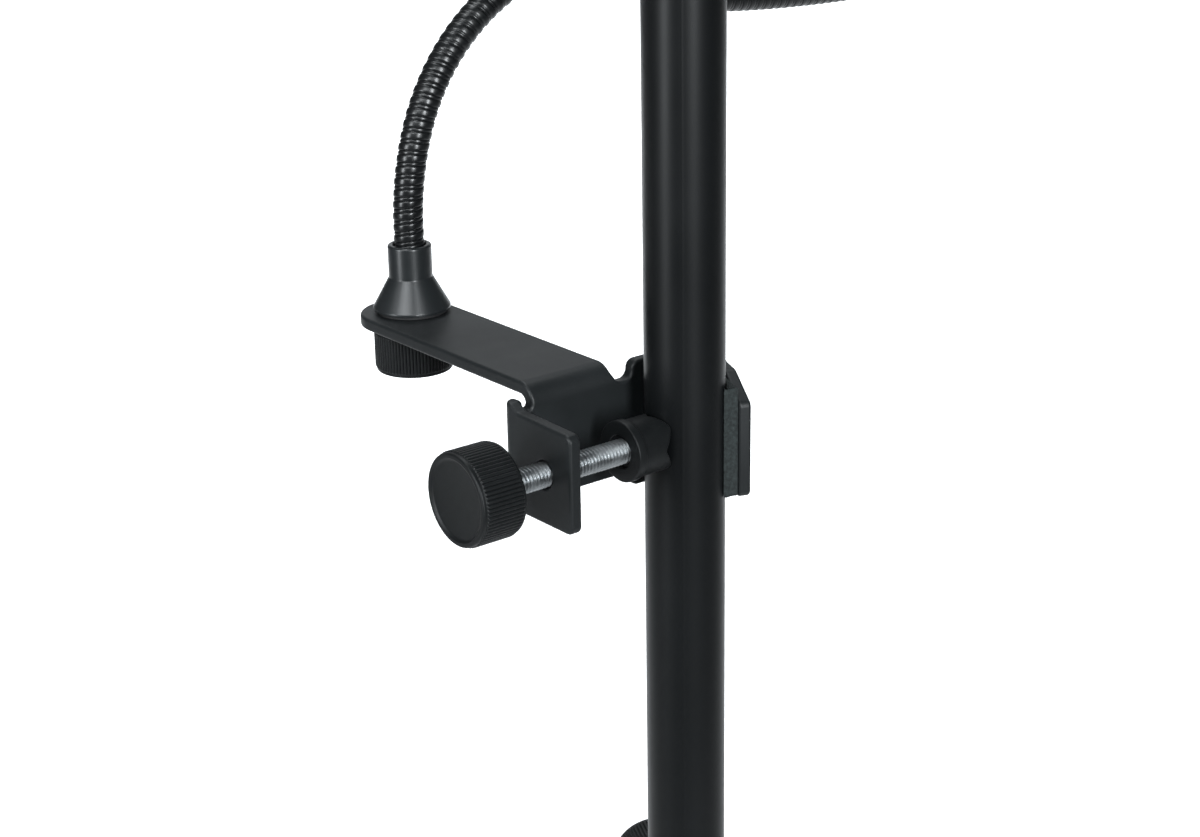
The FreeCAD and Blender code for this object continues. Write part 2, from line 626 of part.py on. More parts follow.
def make_clamp_foot():
    """Swivel foot: a round back with a socket for the screw and a crown of crossed V grooves."""
    back = (FOOT_BACK, 0, 0)
    forward = (1, 0, 0)
    foot = cylinder(FOOT_PAD_R, back, forward, FOOT_FLANGE)
    foot = foot.fuse(cylinder(FOOT_BODY_R, back, forward, -FOOT_BACK - FOOT_BODY_R))
    slope = math.tan(math.radians(FOOT_GROOVE))
    floor = -(MAST_R + 0.1) / math.cos(math.radians(FOOT_GROOVE))
    reach = 12
    groove = [(0, floor), (reach, floor + reach * slope), (reach, 0), (-reach, 0),
              (-reach, floor + reach * slope)]
    for upright in (True, False):
        if upright:
            points = [Vector(x, y, -reach) for y, x in groove]
            direction = Vector(0, 0, 2 * reach)
        else:
            points = [Vector(x, -reach, z) for z, x in groove]
            direction = Vector(0, 2 * reach, 0)
        foot = foot.cut(Part.Face(Part.makePolygon(points + points[:1])).extrude(direction))
    foot = foot.cut(cylinder(5.2, back, forward, 1.0))
    return foot.cut(cylinder(SCREW_R + RUN, back, forward, FOOT_SOCKET))


def clamp_parts():
    """Bracket, pad, foot, thumb screw and knob, in place on the mast."""
    screw_tip = FOOT_BACK + FOOT_SOCKET - 0.1
    screw_end = THUMB_KNOB_X - 10
    screw = cylinder(SCREW_R, (screw_end, 0, 0), (1, 0, 0), screw_tip - screw_end)
    parts = {
        "clamp_bracket": make_bracket(),
        "clamp_pad": make_pad(),
        "clamp_foot": make_clamp_foot(),
        "thumb_screw": screw,
        "thumb_knob": knob_head((THUMB_KNOB_X, 0, 0), (-1, 0, 0)),
    }
    for shape in parts.values():
        shape.translate(Vector(0, 0, CLAMP_Z))
    return parts


# ---- gooseneck ----------------------------------------------------------------------

def neck_spans():
    """Edges of each span of the gooseneck, and where and how steeply it ends."""
    x, y = NECK_AT
    start = Vector(x, y, NECK_SEAT)
    at = Vector(x, y, NECK_SEAT + NECK_RISE)
    spans = [[Part.makeLine(start, at)]]
    heading = 0.0
    for number, (radius, turned_by) in enumerate(NECK_BENDS):
        side = 1.0 if turned_by > 0 else -1.0
        points = []
        for part in (0.5, 1.0):
            a = math.radians(heading)
            b = math.radians(heading + turned_by * part)
            dx = side * radius * (math.cos(a) - math.cos(b))
            dz = side * radius * (math.sin(b) - math.sin(a))
            points.append(at + Vector(dx, 0, dz))
        spans[-1].append(Part.Arc(at, points[0], points[1]).toShape())
        heading += turned_by
        at = points[1]
        if number + 1 in NECK_JOINTS:
            spans.append([])
    return spans, at, heading


def neck_span(edges, has_socket, has_ball):
    """One span: a socket at its start, and at its end a ball with a flat band across its hinge."""
    bar = bar_along(edges, NECK_R)
    across = Vector(0, 1, 0)
    if has_socket:
        begin = edges[0].valueAt(edges[0].FirstParameter)
        bar = bar.cut(Part.makeSphere(NECK_R + JOINT_GAP, begin))
    if has_ball:
        last = edges[-1].valueAt(edges[-1].LastParameter)
        heading = edges[-1].tangentAt(edges[-1].LastParameter)
        band = cylinder(NECK_R - 0.05, last - across * NECK_R, across, 2 * NECK_R)
        ball = Part.makeSphere(NECK_R, last).common(band)
        bar = bar.cut(cylinder(2 * NECK_R, last - heading * 1.0, heading, 2)).fuse(ball)
    return bar


def gooseneck_parts():
    """Cone, washers, stud and lock knob at the base, the neck's spans, and its threaded end."""
    x, y = NECK_AT
    seat = ARM_TOP + 0.02
    cone_z = seat + CONE_WASHER + 0.03
    cone = turned([(0, cone_z), (CONE_R, cone_z), (CONE_R, cone_z + 0.8), (SLEEVE_R, CONE_TOP),
                   (SLEEVE_R, SLEEVE_TOP - 0.9), (SLEEVE_R - 0.9, SLEEVE_TOP), (0, SLEEVE_TOP)],
                  NECK_AT)
    cone = cone.cut(cylinder(NECK_R + 0.02, (x, y, NECK_SEAT - 0.02), (0, 0, 1), 20))
    cone = cone.cut(cylinder(SCREW_R + 0.02, (x, y, 0), (0, 0, 1), 30.02))
    arm_floor = ARM_TOP - PLATE
    washer_z = arm_floor - LOCK_WASHER - 0.03
    knob_top = washer_z - 0.03
    knob = cylinder(LOCK_KNOB_R, (x, y, LOCK_KNOB_FLOOR), (0, 0, 1), knob_top - LOCK_KNOB_FLOOR)
    rim = [e for e in knob.Edges if abs(e.CenterOfMass.z - LOCK_KNOB_FLOOR) < 0.1]
    knob = knob.makeFillet(LOCK_KNOB_RIM, rim)
    knob = knob.cut(cylinder(SCREW_R + 0.07, (x, y, LOCK_KNOB_FLOOR + 2.5), (0, 0, 1), 30))
    parts = {
        "cone_washer": ring(11.6, SCREW_R + 0.1, (x, y, seat), (0, 0, 1), CONE_WASHER),
        "gooseneck_cone": cone,
        "base_stud": cylinder(SCREW_R, (x, y, LOCK_KNOB_FLOOR + 7), (0, 0, 1), 21.5),
        "lock_washer": ring(11.6, SCREW_R + 0.1, (x, y, washer_z), (0, 0, 1), LOCK_WASHER),
        "lock_knob": knob,
    }
    spans, end, heading = neck_spans()
    for number, edges in enumerate(spans, 1):
        parts["gooseneck_span_%d" % number] = neck_span(edges, number > 1, number < len(spans))
    slope = math.radians(heading)
    axis = Vector(math.sin(slope), 0, math.cos(slope))
    base = end - axis * FERRULE_GRIP
    face = base + axis * FERRULE_LENGTH
    ferrule = cylinder(FERRULE_R, base, axis, FERRULE_LENGTH)
    ferrule = ferrule.cut(cylinder(NECK_R + 0.4, base, axis, FERRULE_GRIP + 0.02))
    parts["end_ferrule"] = ferrule.cut(cylinder(STUD_SHANK_R + 0.02, end, axis, FERRULE_LENGTH))
    shank = cylinder(STUD_SHANK_R, end + axis * 2, axis, FERRULE_LENGTH - FERRULE_GRIP - 2 + 1)
    thread = cylinder(STUD_R, face + axis * STUD_RELIEF, axis, STUD_LENGTH)
    parts["accessory_stud"] = shank.fuse(thread)
    for shape in parts.values():
        shape.translate(Vector(0, 0, CLAMP_Z))
    return parts


def main():
    """Build every piece and write it out."""
    os.makedirs("parts", exist_ok=True)
    for group in (base_parts, clutch_parts, mast_parts, desk_parts, clamp_parts,
                  gooseneck_parts):
        for name, shape in group().items():
            save(name, shape)


main()
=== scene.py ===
"""Music stand with a clamp-on gooseneck arm, laid out as an add-on and run as a script.

Sizes in the code are millimetres in the stand's own frame, and meshes are made in metres.
"""
import json
import math

import bmesh
import bpy
from mathutils import Matrix, Vector, noise


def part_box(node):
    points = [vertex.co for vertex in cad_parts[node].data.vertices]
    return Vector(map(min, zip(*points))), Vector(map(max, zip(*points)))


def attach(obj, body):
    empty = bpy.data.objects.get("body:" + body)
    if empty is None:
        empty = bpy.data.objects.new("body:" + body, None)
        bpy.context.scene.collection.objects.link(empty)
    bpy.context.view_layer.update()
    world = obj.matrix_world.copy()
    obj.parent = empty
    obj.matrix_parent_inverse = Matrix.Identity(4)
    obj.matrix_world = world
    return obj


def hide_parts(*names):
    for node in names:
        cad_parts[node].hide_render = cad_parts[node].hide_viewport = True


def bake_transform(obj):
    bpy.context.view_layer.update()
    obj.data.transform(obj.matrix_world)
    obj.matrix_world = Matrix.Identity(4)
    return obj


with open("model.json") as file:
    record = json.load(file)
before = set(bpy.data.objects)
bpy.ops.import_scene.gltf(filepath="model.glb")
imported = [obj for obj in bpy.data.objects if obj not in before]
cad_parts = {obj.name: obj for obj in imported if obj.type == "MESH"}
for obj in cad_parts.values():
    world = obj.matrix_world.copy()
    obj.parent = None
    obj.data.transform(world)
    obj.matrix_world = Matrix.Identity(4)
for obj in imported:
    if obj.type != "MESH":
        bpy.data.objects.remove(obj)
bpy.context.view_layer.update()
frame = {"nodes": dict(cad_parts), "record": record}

bl_info = {
    "name": "Music Stand with Gooseneck Clamp",
    "version": (1, 0, 0),
    "blender": (4, 5, 0),
    "location": "3D View > Sidebar > Music Stand",
    "description": "Dresses the stand's clamp, gooseneck, mast, desk and base",
    "category": "Object",
}

MM = 0.001

CLUTCH_HEIGHT = 625.5
CLUTCH_BEARING = math.radians(64.8)
KNOB_RADIUS = 14.45


def half_width(node):
    """Half the width of a node along X, in metres."""
    low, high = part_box(node)
    return (high.x - low.x) / 2


# ---- settings -------------------------------------------------------------------------


def length(label, text, value):
    """A length property in metres."""
    return bpy.props.FloatProperty(
        name=label, description=text, default=value, min=0.0, precision=5, unit="LENGTH")


def colour(label, text, value):
    """A colour property."""
    return bpy.props.FloatVectorProperty(
        name=label, description=text, default=value, size=3, min=0.0, max=1.0, subtype="COLOR")


class StandSizes(bpy.types.PropertyGroup):
    """Sizes a maker might change."""

    mast_radius: length("Mast radius", "Radius of the upper tube", half_width("mast_tube"))
    seam_height: length("Seam height", "How proud the mast's weld seam stands", 0.00009)
    plate_edge: length("Plate edge", "Rounding of the clamp plate's edges", 0.00095)
    sheet_edge: length("Sheet edge", "Rounding of the desk sheet's edges", 0.0003)
    thread_pitch: length("Thread pitch", "Pitch of the clamp and clutch screws", 0.00125)
    thread_depth: length("Thread depth", "Depth of their thread", 0.00062)
    rib_depth: length("Knob rib", "Height of a knob's ribs", 0.00042)
    neck_pitch: length("Wire pitch", "Pitch of the gooseneck's winding", 0.00367)
    neck_groove: length("Wire groove", "Depth of the groove between its wires", 0.0004)
    foam_grain: length("Foam grain", "Height of the foam pad's lumps", 0.00009)
    knob_ribs: bpy.props.IntProperty(
        name="Knob ribs", description="Ribs round each knob", default=72, min=12, max=120)


class StandColours(bpy.types.PropertyGroup):
    """Colours of the stand's finishes."""

    enamel: colour("Enamel", "Satin enamel of the tubes", (0.0044, 0.0052, 0.0058))
    powder: colour("Powder coat", "Powder coat of plates and desk", (0.0112, 0.0134, 0.0144))
    turned: colour("Turned black", "Black finish of the turned cone", (0.0125, 0.0148, 0.0160))
    neck: colour("Neck", "Black finish of the gooseneck", (0.0060, 0.0068, 0.0074))
    plastic: colour("Plastic", "Moulded knobs and foot", (0.0072, 0.0084, 0.0090))
    zinc: colour("Zinc", "Zinc plated steel", (0.36, 0.38, 0.39))
    brass: colour("Brass", "Threaded insert and shoe", (0.60, 0.45, 0.20))
    rubber: colour("Rubber", "Feet and washers", (0.0150, 0.0155, 0.0160))
    foam: colour("Foam", "Closed-cell pad", (0.0300, 0.0370, 0.0370))
    floor: colour("Floor", "Studio floor", (0.86, 0.86, 0.86))


class StandStudio(bpy.types.PropertyGroup):
    """Light levels of the studio."""

    sky: bpy.props.FloatProperty(
        name="Sky", description="Strength of the even light", default=0.06, min=0.0)
    back_wall: bpy.props.FloatProperty(
        name="Back wall", description="Power of the wide light behind", default=34.0,
        subtype="POWER")
    ceiling: bpy.props.FloatProperty(
        name="Ceiling", description="Power of the light over the floor behind", default=230.0,
        subtype="POWER")
    left_box: bpy.props.FloatProperty(
        name="Left box", description="Power of the left softbox", default=3.5, subtype="POWER")
    front_box: bpy.props.FloatProperty(
        name="Front box", description="Power of the front softbox", default=8.0, subtype="POWER")
    high_box: bpy.props.FloatProperty(
        name="High box", description="Power of the high left softbox", default=7.0,
        subtype="POWER")
    top_box: bpy.props.FloatProperty(
        name="Top box", description="Power of the overhead softbox", default=1.5, subtype="POWER")


def sizes():
    """The size settings of this scene."""
    return bpy.context.scene.stand_sizes


def colours():
    """The colour settings of this scene."""
    return bpy.context.scene.stand_colours


# ---- shared surface effects -----------------------------------------------------------


def effect_group(name, inputs, outputs):
    """An empty node group with named sockets, and its input and output nodes."""
    tree = bpy.data.node_groups.new(name, "ShaderNodeTree")
    for label, value in inputs:
        kind = "NodeSocketVector" if isinstance(value, tuple) else "NodeSocketFloat"
        socket = tree.interface.new_socket(label, in_out="INPUT", socket_type=kind)
        socket.default_value = value
    for label in outputs:
        tree.interface.new_socket(label, in_out="OUTPUT", socket_type="NodeSocketFloat")
    return tree, tree.nodes.new("NodeGroupInput"), tree.nodes.new("NodeGroupOutput")


def noise_node(tree, vector, scale, detail=3.0, rough=0.55):
    """A noise texture reading the given coordinates."""
    node = tree.nodes.new("ShaderNodeTexNoise")
    node.inputs["Detail"].default_value = detail
    node.inputs["Roughness"].default_value = rough
    tree.links.new(vector, node.inputs["Vector"])
    if isinstance(scale, (int, float)):
        node.inputs["Scale"].default_value = scale
    else:
        tree.links.new(scale, node.inputs["Scale"])
    return node.outputs["Fac"]


def math_node(tree, operation, first, second, clamp=False):
    """A math node on two sockets or numbers."""
    node = tree.nodes.new("ShaderNodeMath")
    node.operation = operation
    node.use_clamp = clamp
    for index, value in enumerate((first, second)):
        if isinstance(value, (int, float)):
            node.inputs[index].default_value = value
        else:
            tree.links.new(value, node.inputs[index])
    return node.outputs[0]


def object_coordinates(tree):
    """Coordinates fixed to the piece, in metres."""
    return tree.nodes.new("ShaderNodeTexCoord").outputs["Object"]


def scaled(tree, vector, by):
    """Coordinates stretched by a vector or a socket."""
    node = tree.nodes.new("ShaderNodeVectorMath")
    node.operation = "MULTIPLY"
    tree.links.new(vector, node.inputs[0])
    if isinstance(by, tuple):
        node.inputs[1].default_value = by
    else:
        tree.links.new(by, node.inputs[1])
    return node.outputs[0]


def make_grain_group():
    """Fine surface grain: a coarse orange peel with a finer grain over it."""
    tree, given, out = effect_group(
        "Fine grain", [("Scale", 900.0), ("Fine share", 0.4)], ["Height"])
    at = object_coordinates(tree)
    coarse = noise_node(tree, at, given.outputs["Scale"], 2.0)
    finer = math_node(tree, "MULTIPLY", given.outputs["Scale"], 3.1)
    fine = noise_node(tree, at, finer, 3.0, 0.7)
    share = math_node(tree, "MULTIPLY", fine, given.outputs["Fine share"])
    tree.links.new(math_node(tree, "ADD", coarse, share), out.inputs["Height"])
    return tree


def make_handling_group():
    """Slow changes of gloss left by handling, and a little settled dust."""
    tree, given, out = effect_group(
        "Handling marks", [("Scale", 28.0), ("Dust", 0.15)], ["Gloss", "Dust"])
    at = object_coordinates(tree)
    patches = noise_node(tree, at, given.outputs["Scale"], 4.0, 0.6)
    wide = math_node(tree, "MULTIPLY", math_node(tree, "SUBTRACT", patches, 0.35), 2.6, True)
    tree.links.new(wide, out.inputs["Gloss"])
    specks = noise_node(tree, at, 2600.0, 2.0, 0.5)
    rare = math_node(tree, "MULTIPLY", math_node(tree, "SUBTRACT", specks, 0.66), 9.0, True)
    facing = tree.nodes.new("ShaderNodeNewGeometry")
    split = tree.nodes.new("ShaderNodeSeparateXYZ")
    tree.links.new(facing.outputs["Normal"], split.inputs[0])
    upward = math_node(tree, "MULTIPLY", split.outputs["Z"], 1.0, True)
    level = math_node(tree, "ADD", math_node(tree, "MULTIPLY", upward, 0.8), 0.2)
    amount = math_node(tree, "MULTIPLY", math_node(tree, "MULTIPLY", rare, level),
                       given.outputs["Dust"])
    tree.links.new(amount, out.inputs["Dust"])
    return tree


def make_painted_highlight_group():
    """A painted highlight mask on outer edges, from pointiness, broken up by noise."""
    tree, given, out = effect_group("Painted edge highlight", [("Start", 0.52), ("Sharpness", 9.0)], ["Mask"])
    shape = tree.nodes.new("ShaderNodeNewGeometry").outputs["Pointiness"]
    above = math_node(tree, "SUBTRACT", shape, given.outputs["Start"])
    edge = math_node(tree, "MULTIPLY", above, given.outputs["Sharpness"], True)
    breaks = noise_node(tree, object_coordinates(tree), 350.0, 3.0)
    tree.links.new(math_node(tree, "MULTIPLY", edge, breaks), out.inputs["Mask"])
    return tree


def make_lines_group():
    """Fine tool or drawing lines that run across the direction with the largest stretch."""
    tree, given, out = effect_group(
        "Tool lines", [("Stretch", (20.0, 20.0, 5000.0)), ("Contrast", 1.0)], ["Height", "Mask"])
    at = scaled(tree, object_coordinates(tree), given.outputs["Stretch"])
    lines = noise_node(tree, at, 1.0, 3.0, 0.6)
    tree.links.new(lines, out.inputs["Height"])
    sharp = math_node(tree, "MULTIPLY", math_node(tree, "SUBTRACT", lines, 0.4),
                      given.outputs["Contrast"], True)
    tree.links.new(sharp, out.inputs["Mask"])
    return tree


EFFECTS = {}


def effect(tree, name, **values):
    """Place a shared effect in a material with its own values."""
    makers = {"grain": make_grain_group, "handling": make_handling_group,
              "edge": make_painted_highlight_group, "lines": make_lines_group}
    if name not in EFFECTS:
        EFFECTS[name] = makers[name]()
    node = tree.nodes.new("ShaderNodeGroup")
    node.node_tree = EFFECTS[name]
    for label, value in values.items():
        node.inputs[label.replace("_", " ")].default_value = value
    return node.outputs


# ---- finishes -------------------------------------------------------------------------


def blend_colour(tree, mask, first, second):
    """Mix two colours, or sockets, by a mask."""
    node = tree.nodes.new("ShaderNodeMix")
    node.data_type = "RGBA"
    tree.links.new(mask, node.inputs["Factor"])
    for label, value in (("A", first), ("B", second)):
        socket = [s for s in node.inputs if s.name == label and s.type == "RGBA"][0]
        if isinstance(value, tuple):
            socket.default_value = value + (1.0,)
        else:
            tree.links.new(value, socket)
    return [s for s in node.outputs if s.type == "RGBA"][0]


def spread(tree, mask, low, high):
    """Map a mask from 0..1 to low..high."""
    node = tree.nodes.new("ShaderNodeMapRange")
    node.inputs["To Min"].default_value = low
    node.inputs["To Max"].default_value = high
    tree.links.new(mask, node.inputs["Value"])
    return node.outputs["Result"]


def tint(base, gain):
    """A lighter or darker version of a colour."""
    return tuple(min(1.0, channel * gain) for channel in base)


def finish(name, base, gloss, grain, metal=0.0, coat=0.0, coat_rough=0.3, dust=0.12,
           highlight_gain=1.8, lines=None, patches=28.0, uneven=0.12, specular=0.5):
    """One finish. gloss is (smoothest, roughest), grain is (scale, height in mm)."""
    base = tuple(base)
    material = bpy.data.materials.new(name)
    material.use_nodes = True
    tree = material.node_tree
    surface = tree.nodes["Principled BSDF"]
    surface.inputs["Metallic"].default_value = metal
    surface.inputs["Coat Weight"].default_value = coat
    surface.inputs["Coat Roughness"].default_value = coat_rough
    surface.inputs["Specular IOR Level"].default_value = specular
    handled = effect(tree, "handling", Scale=patches, Dust=dust)
    # Outer edges are lightened towards a brighter tint of the base: a painted highlight on the rounded
    # edges, broken up by noise.
    edge_highlight = effect(tree, "edge")
    worn = blend_colour(tree, handled["Gloss"], tint(base, 1.0 - uneven), tint(base, 1.0 + uneven))
    with_highlight = blend_colour(tree, edge_highlight["Mask"], worn, tint(base, highlight_gain))
    dusty = blend_colour(tree, handled["Dust"], with_highlight, (0.45, 0.45, 0.43))
    tree.links.new(dusty, surface.inputs["Base Color"])
    roughness = spread(tree, handled["Gloss"], gloss[0], gloss[1])
    tree.links.new(roughness, surface.inputs["Roughness"])
    relief = effect(tree, "grain", Scale=grain[0])["Height"]
    bump = tree.nodes.new("ShaderNodeBump")
    bump.inputs["Distance"].default_value = grain[1] * MM
    bump.inputs["Strength"].default_value = 1.0
    tree.links.new(relief, bump.inputs["Height"])
    last = bump
    if lines:
        stretch, height = lines
        drawn = effect(tree, "lines", Stretch=stretch)
        second = tree.nodes.new("ShaderNodeBump")
        second.inputs["Distance"].default_value = height * MM
        tree.links.new(drawn["Height"], second.inputs["Height"])
        tree.links.new(bump.outputs["Normal"], second.inputs["Normal"])
        last = second
    tree.links.new(last.outputs["Normal"], surface.inputs["Normal"])
    return material


def make_finishes():
    """Every finish of the stand, by its material slot."""
    c = colours()
    return {
        "satin_black": finish("Satin enamel", c.enamel, (0.33, 0.43), (1500.0, 0.0035), coat=0.05,
                              coat_rough=0.25, dust=0.04, patches=9.0, specular=0.32),
        "powder_black": finish("Powder coat", c.powder, (0.43, 0.52), (2600.0, 0.016), dust=0.06,
                               highlight_gain=1.5, specular=0.42),
        "turned_black": finish("Turned black", c.turned, (0.32, 0.40), (2000.0, 0.002),
                               coat=0.3, coat_rough=0.2, dust=0.05, lines=((30.0, 30.0, 3200.0), 0.010)),
        "neck_black": finish("Gloss black wire", c.neck, (0.26, 0.36), (1800.0, 0.002), coat=0.2,
                             coat_rough=0.2, dust=0.06),
        "bright_zinc": finish("Zinc plate", c.zinc, (0.30, 0.44), (1800.0, 0.004), metal=1.0,
                              dust=0.05, highlight_gain=1.2, patches=220.0, uneven=0.2),
        "insert_brass": finish("Turned brass", c.brass, (0.25, 0.4), (2000.0, 0.003), metal=1.0,
                               highlight_gain=1.2, patches=150.0),
        "moulded_black": finish("Moulded plastic", c.plastic, (0.40, 0.50), (3600.0, 0.010),
                                dust=0.05, highlight_gain=1.9, patches=120.0, specular=0.32),
        "foot_rubber": finish("Rubber", c.rubber, (0.62, 0.75), (2200.0, 0.02), dust=0.25,
                              patches=60.0),
        "pad_foam": finish("Foam", c.foam, (0.8, 0.95), (2300.0, 0.11), dust=0.20,
                           highlight_gain=1.5, patches=900.0, uneven=0.45, specular=0.3),
    }


FINISHES = {}


def finish_of(slot_name):
    """The finish of a material slot."""
    if not FINISHES:
        FINISHES.update(make_finishes())
    return FINISHES[slot_name]


def slot_of(node):
    """The material slot that the record gives a node."""
    for part in frame["record"]["subparts"]:
        if part["node"] == node:
            return part["material_slot"]
    raise RuntimeError("the record has no node named " + node)


def body_of(node):
    """The body that carries a node."""
    for body, members in frame["record"]["behaviour"]["bodies"].items():
        if node in members:
            return body
    raise RuntimeError("no body carries " + node)


# ---- mesh helpers ---------------------------------------------------------------------


def new_piece(name, points, faces, sharp=38.0, weld=0.0005):
    """A smooth-shaded mesh object from millimetre points."""
    mesh = bpy.data.meshes.new(name)
    mesh.from_pydata([Vector(p) * MM for p in points], [], faces)
    cage = bmesh.new()
    cage.from_mesh(mesh)
    bmesh.ops.remove_doubles(cage, verts=cage.verts, dist=weld * MM)
    bmesh.ops.dissolve_degenerate(cage, edges=cage.edges, dist=weld * MM)
    bmesh.ops.recalc_face_normals(cage, faces=cage.faces)
    cage.to_mesh(mesh)
    cage.free()
    mesh.shade_smooth()
    mesh.set_sharp_from_angle(angle=math.radians(sharp))
    piece = bpy.data.objects.new(name, mesh)
    bpy.context.scene.collection.objects.link(piece)
    return piece


def dress(piece, node, *more):
    """Give a piece its node's finish, and let it stand for its nodes."""
    slot_name = slot_of(node)
    piece.data.materials.clear()
    piece.data.materials.append(finish_of(slot_name))
    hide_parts(node, *more)
    return piece


def carry(piece, node, *more):
    """Dress a piece and let it ride on its node's body."""
    dress(piece, node, *more)
    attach(piece, body_of(node))
    return piece


def keep_node(node):
    """Show a CAD node as it is, with its finish."""
    piece = frame["nodes"][node]
    piece.data.materials.clear()
    piece.data.materials.append(finish_of(slot_of(node)))


def skin(rings, closed=(True, True)):
    """Points and faces of a skin over rings of equal length, with flat ends if closed."""
    count = len(rings[0])
    points = [point for ring in rings for point in ring]
    faces = []
    for row in range(len(rings) - 1):
        for k in range(count):
            a = row * count + k
            b = row * count + (k + 1) % count
            faces.append((a, b, b + count, a + count))
    if closed[0]:
        faces.append(tuple(reversed(range(count))))
    if closed[1]:
        start = (len(rings) - 1) * count
        faces.append(tuple(range(start, start + count)))
    return points, faces


def rounded(corners, loop=False, steps=6):
    """Round the corners of a flat outline. Each corner is (x, y, radius)."""
    out = []
    count = len(corners)
    for k, (x, y, radius) in enumerate(corners):
        if radius <= 0 or (not loop and k in (0, count - 1)):
            out.append((x, y))
            continue
        at = Vector((x, y))
        before = Vector(corners[k - 1][:2]) - at
        after = Vector(corners[(k + 1) % count][:2]) - at
        room = 0.499 * min(before.length, after.length)
        before.normalize()
        after.normalize()
        half = before.angle(after) / 2
        back = min(radius / math.tan(half), room)
        radius = back * math.tan(half)
        centre = at + (before + after).normalized() * (radius / math.sin(half))
        start = at + before * back - centre
        end = at + after * back - centre
        turn = math.atan2(start.x * end.y - start.y * end.x, start.dot(end))
        count_here = max(2, int(steps * abs(turn) / 1.57 + 1))
        for j in range(count_here + 1):
            a = turn * j / count_here
            spoke = Vector((start.x * math.cos(a) - start.y * math.sin(a),
                            start.x * math.sin(a) + start.y * math.cos(a)))
            out.append(tuple(centre + spoke))
    return out


def axis_frame(origin, axis):
    """A frame whose Z runs along the axis."""
    z = Vector(axis).normalized()
    side = Vector((0, 0, 1)) if abs(z.z) < 0.9 else Vector((1, 0, 0))
    x = side.cross(z).normalized()
    y = z.cross(x)
    turn = Matrix((x, y, z)).transposed().to_4x4()
    return Matrix.Translation(Vector(origin)) @ turn


def turned_rings(profile, place, count, shape=None):
    """Rings of a turned shape. shape(angle, r, h) may change each point's radius."""
    rings = []
    for r, h in profile:
        ring = []
        for k in range(count):
            angle = 2 * math.pi * k / count
            radius = shape(angle, r, h) if shape else r
            ring.append(place @ Vector((radius * math.cos(angle), radius * math.sin(angle), h)))
        rings.append(ring)
    return rings


def turned_piece(name, profile, place, count=96, shape=None, sharp=38.0, steps=5):
    """A turned piece from (r, h, rounding) corners; an end at r = 0 closes itself."""
    run = rounded(profile, steps=steps)
    closed = (profile[0][0] > 0, profile[-1][0] > 0)
    points, faces = skin(turned_rings(run, place, count, shape), closed)
    return new_piece(name, points, faces, sharp)


def tube_piece(name, outer, inner, length_mm, place, edge, count=96):
    """A ring with rounded edges."""
    profile = [(inner, length_mm / 2, 0), (inner, length_mm, edge * 0.5), (outer, length_mm, edge),
               (outer, 0, edge), (inner, 0, edge * 0.5), (inner, length_mm / 2, 0)]
    points, faces = skin(turned_rings(rounded(profile), place, count), (False, False))
    return new_piece(name, points, faces)


def helix_rings(radius_at, start, end, pitch, per_turn, around):
    """(angle, distance, radius) rows that follow a right-hand helix, trimmed flat at both ends."""
    rows = int((end - start) / pitch * per_turn) + per_turn + 1
    grid = []
    for j in range(-per_turn, rows):
        row = []
        for k in range(around + 1):
            turn = k / around
            at = start + pitch * (j / per_turn + turn)
            clipped = min(max(at, start), end)
            phase = ((clipped - start) / pitch - turn) % 1.0
            row.append((2 * math.pi * turn, clipped, radius_at(phase, clipped)))
        grid.append(row)
    return grid


def helix_piece(name, grid, where, closed=True):
    """A piece from helix rows. where(angle, distance, radius) gives the place in space."""
    points = []
    faces = []
    count = len(grid[0])
    for row in grid:
        for angle, distance, radius in row:
            points.append(where(angle, distance, radius))
    for j in range(len(grid) - 1):
        for k in range(count - 1):
            a = j * count + k
            faces.append((a, a + 1, a + 1 + count, a + count))
    piece = new_piece(name, points, faces, sharp=60.0, weld=0.002)
    if closed:
        cage = bmesh.new()
        cage.from_mesh(piece.data)
        rim = [edge for edge in cage.edges if edge.is_boundary]
        bmesh.ops.holes_fill(cage, edges=rim, sides=0)
        bmesh.ops.recalc_face_normals(cage, faces=cage.faces)
        cage.to_mesh(piece.data)
        cage.free()
    return piece


def thread_radius(outer, pitch, depth, start, end):
    """Radius of a screw thread by phase, with run-outs at both ends."""
    def radius(phase, at):
        flank = abs(phase - 0.5) * 2
        cut = min(1.0, max(0.0, (flank - 0.10) / 0.72))
        near = min(at - start, end - at)
        lead = 0.0 if near > pitch else 0.6 * depth * (1 - near / pitch)
        return outer - depth * cut - lead
    return radius


def screw_piece(name, start, end, outer, place):
    """A threaded rod along a frame's Z axis."""
    pitch = sizes().thread_pitch / MM
    depth = sizes().thread_depth / MM
    grid = helix_rings(thread_radius(outer, pitch, depth, start, end), start, end, pitch, 12, 48)

    def where(angle, distance, radius):
        return place @ Vector((radius * math.cos(angle), radius * math.sin(angle), distance))
    return helix_piece(name, grid, where)


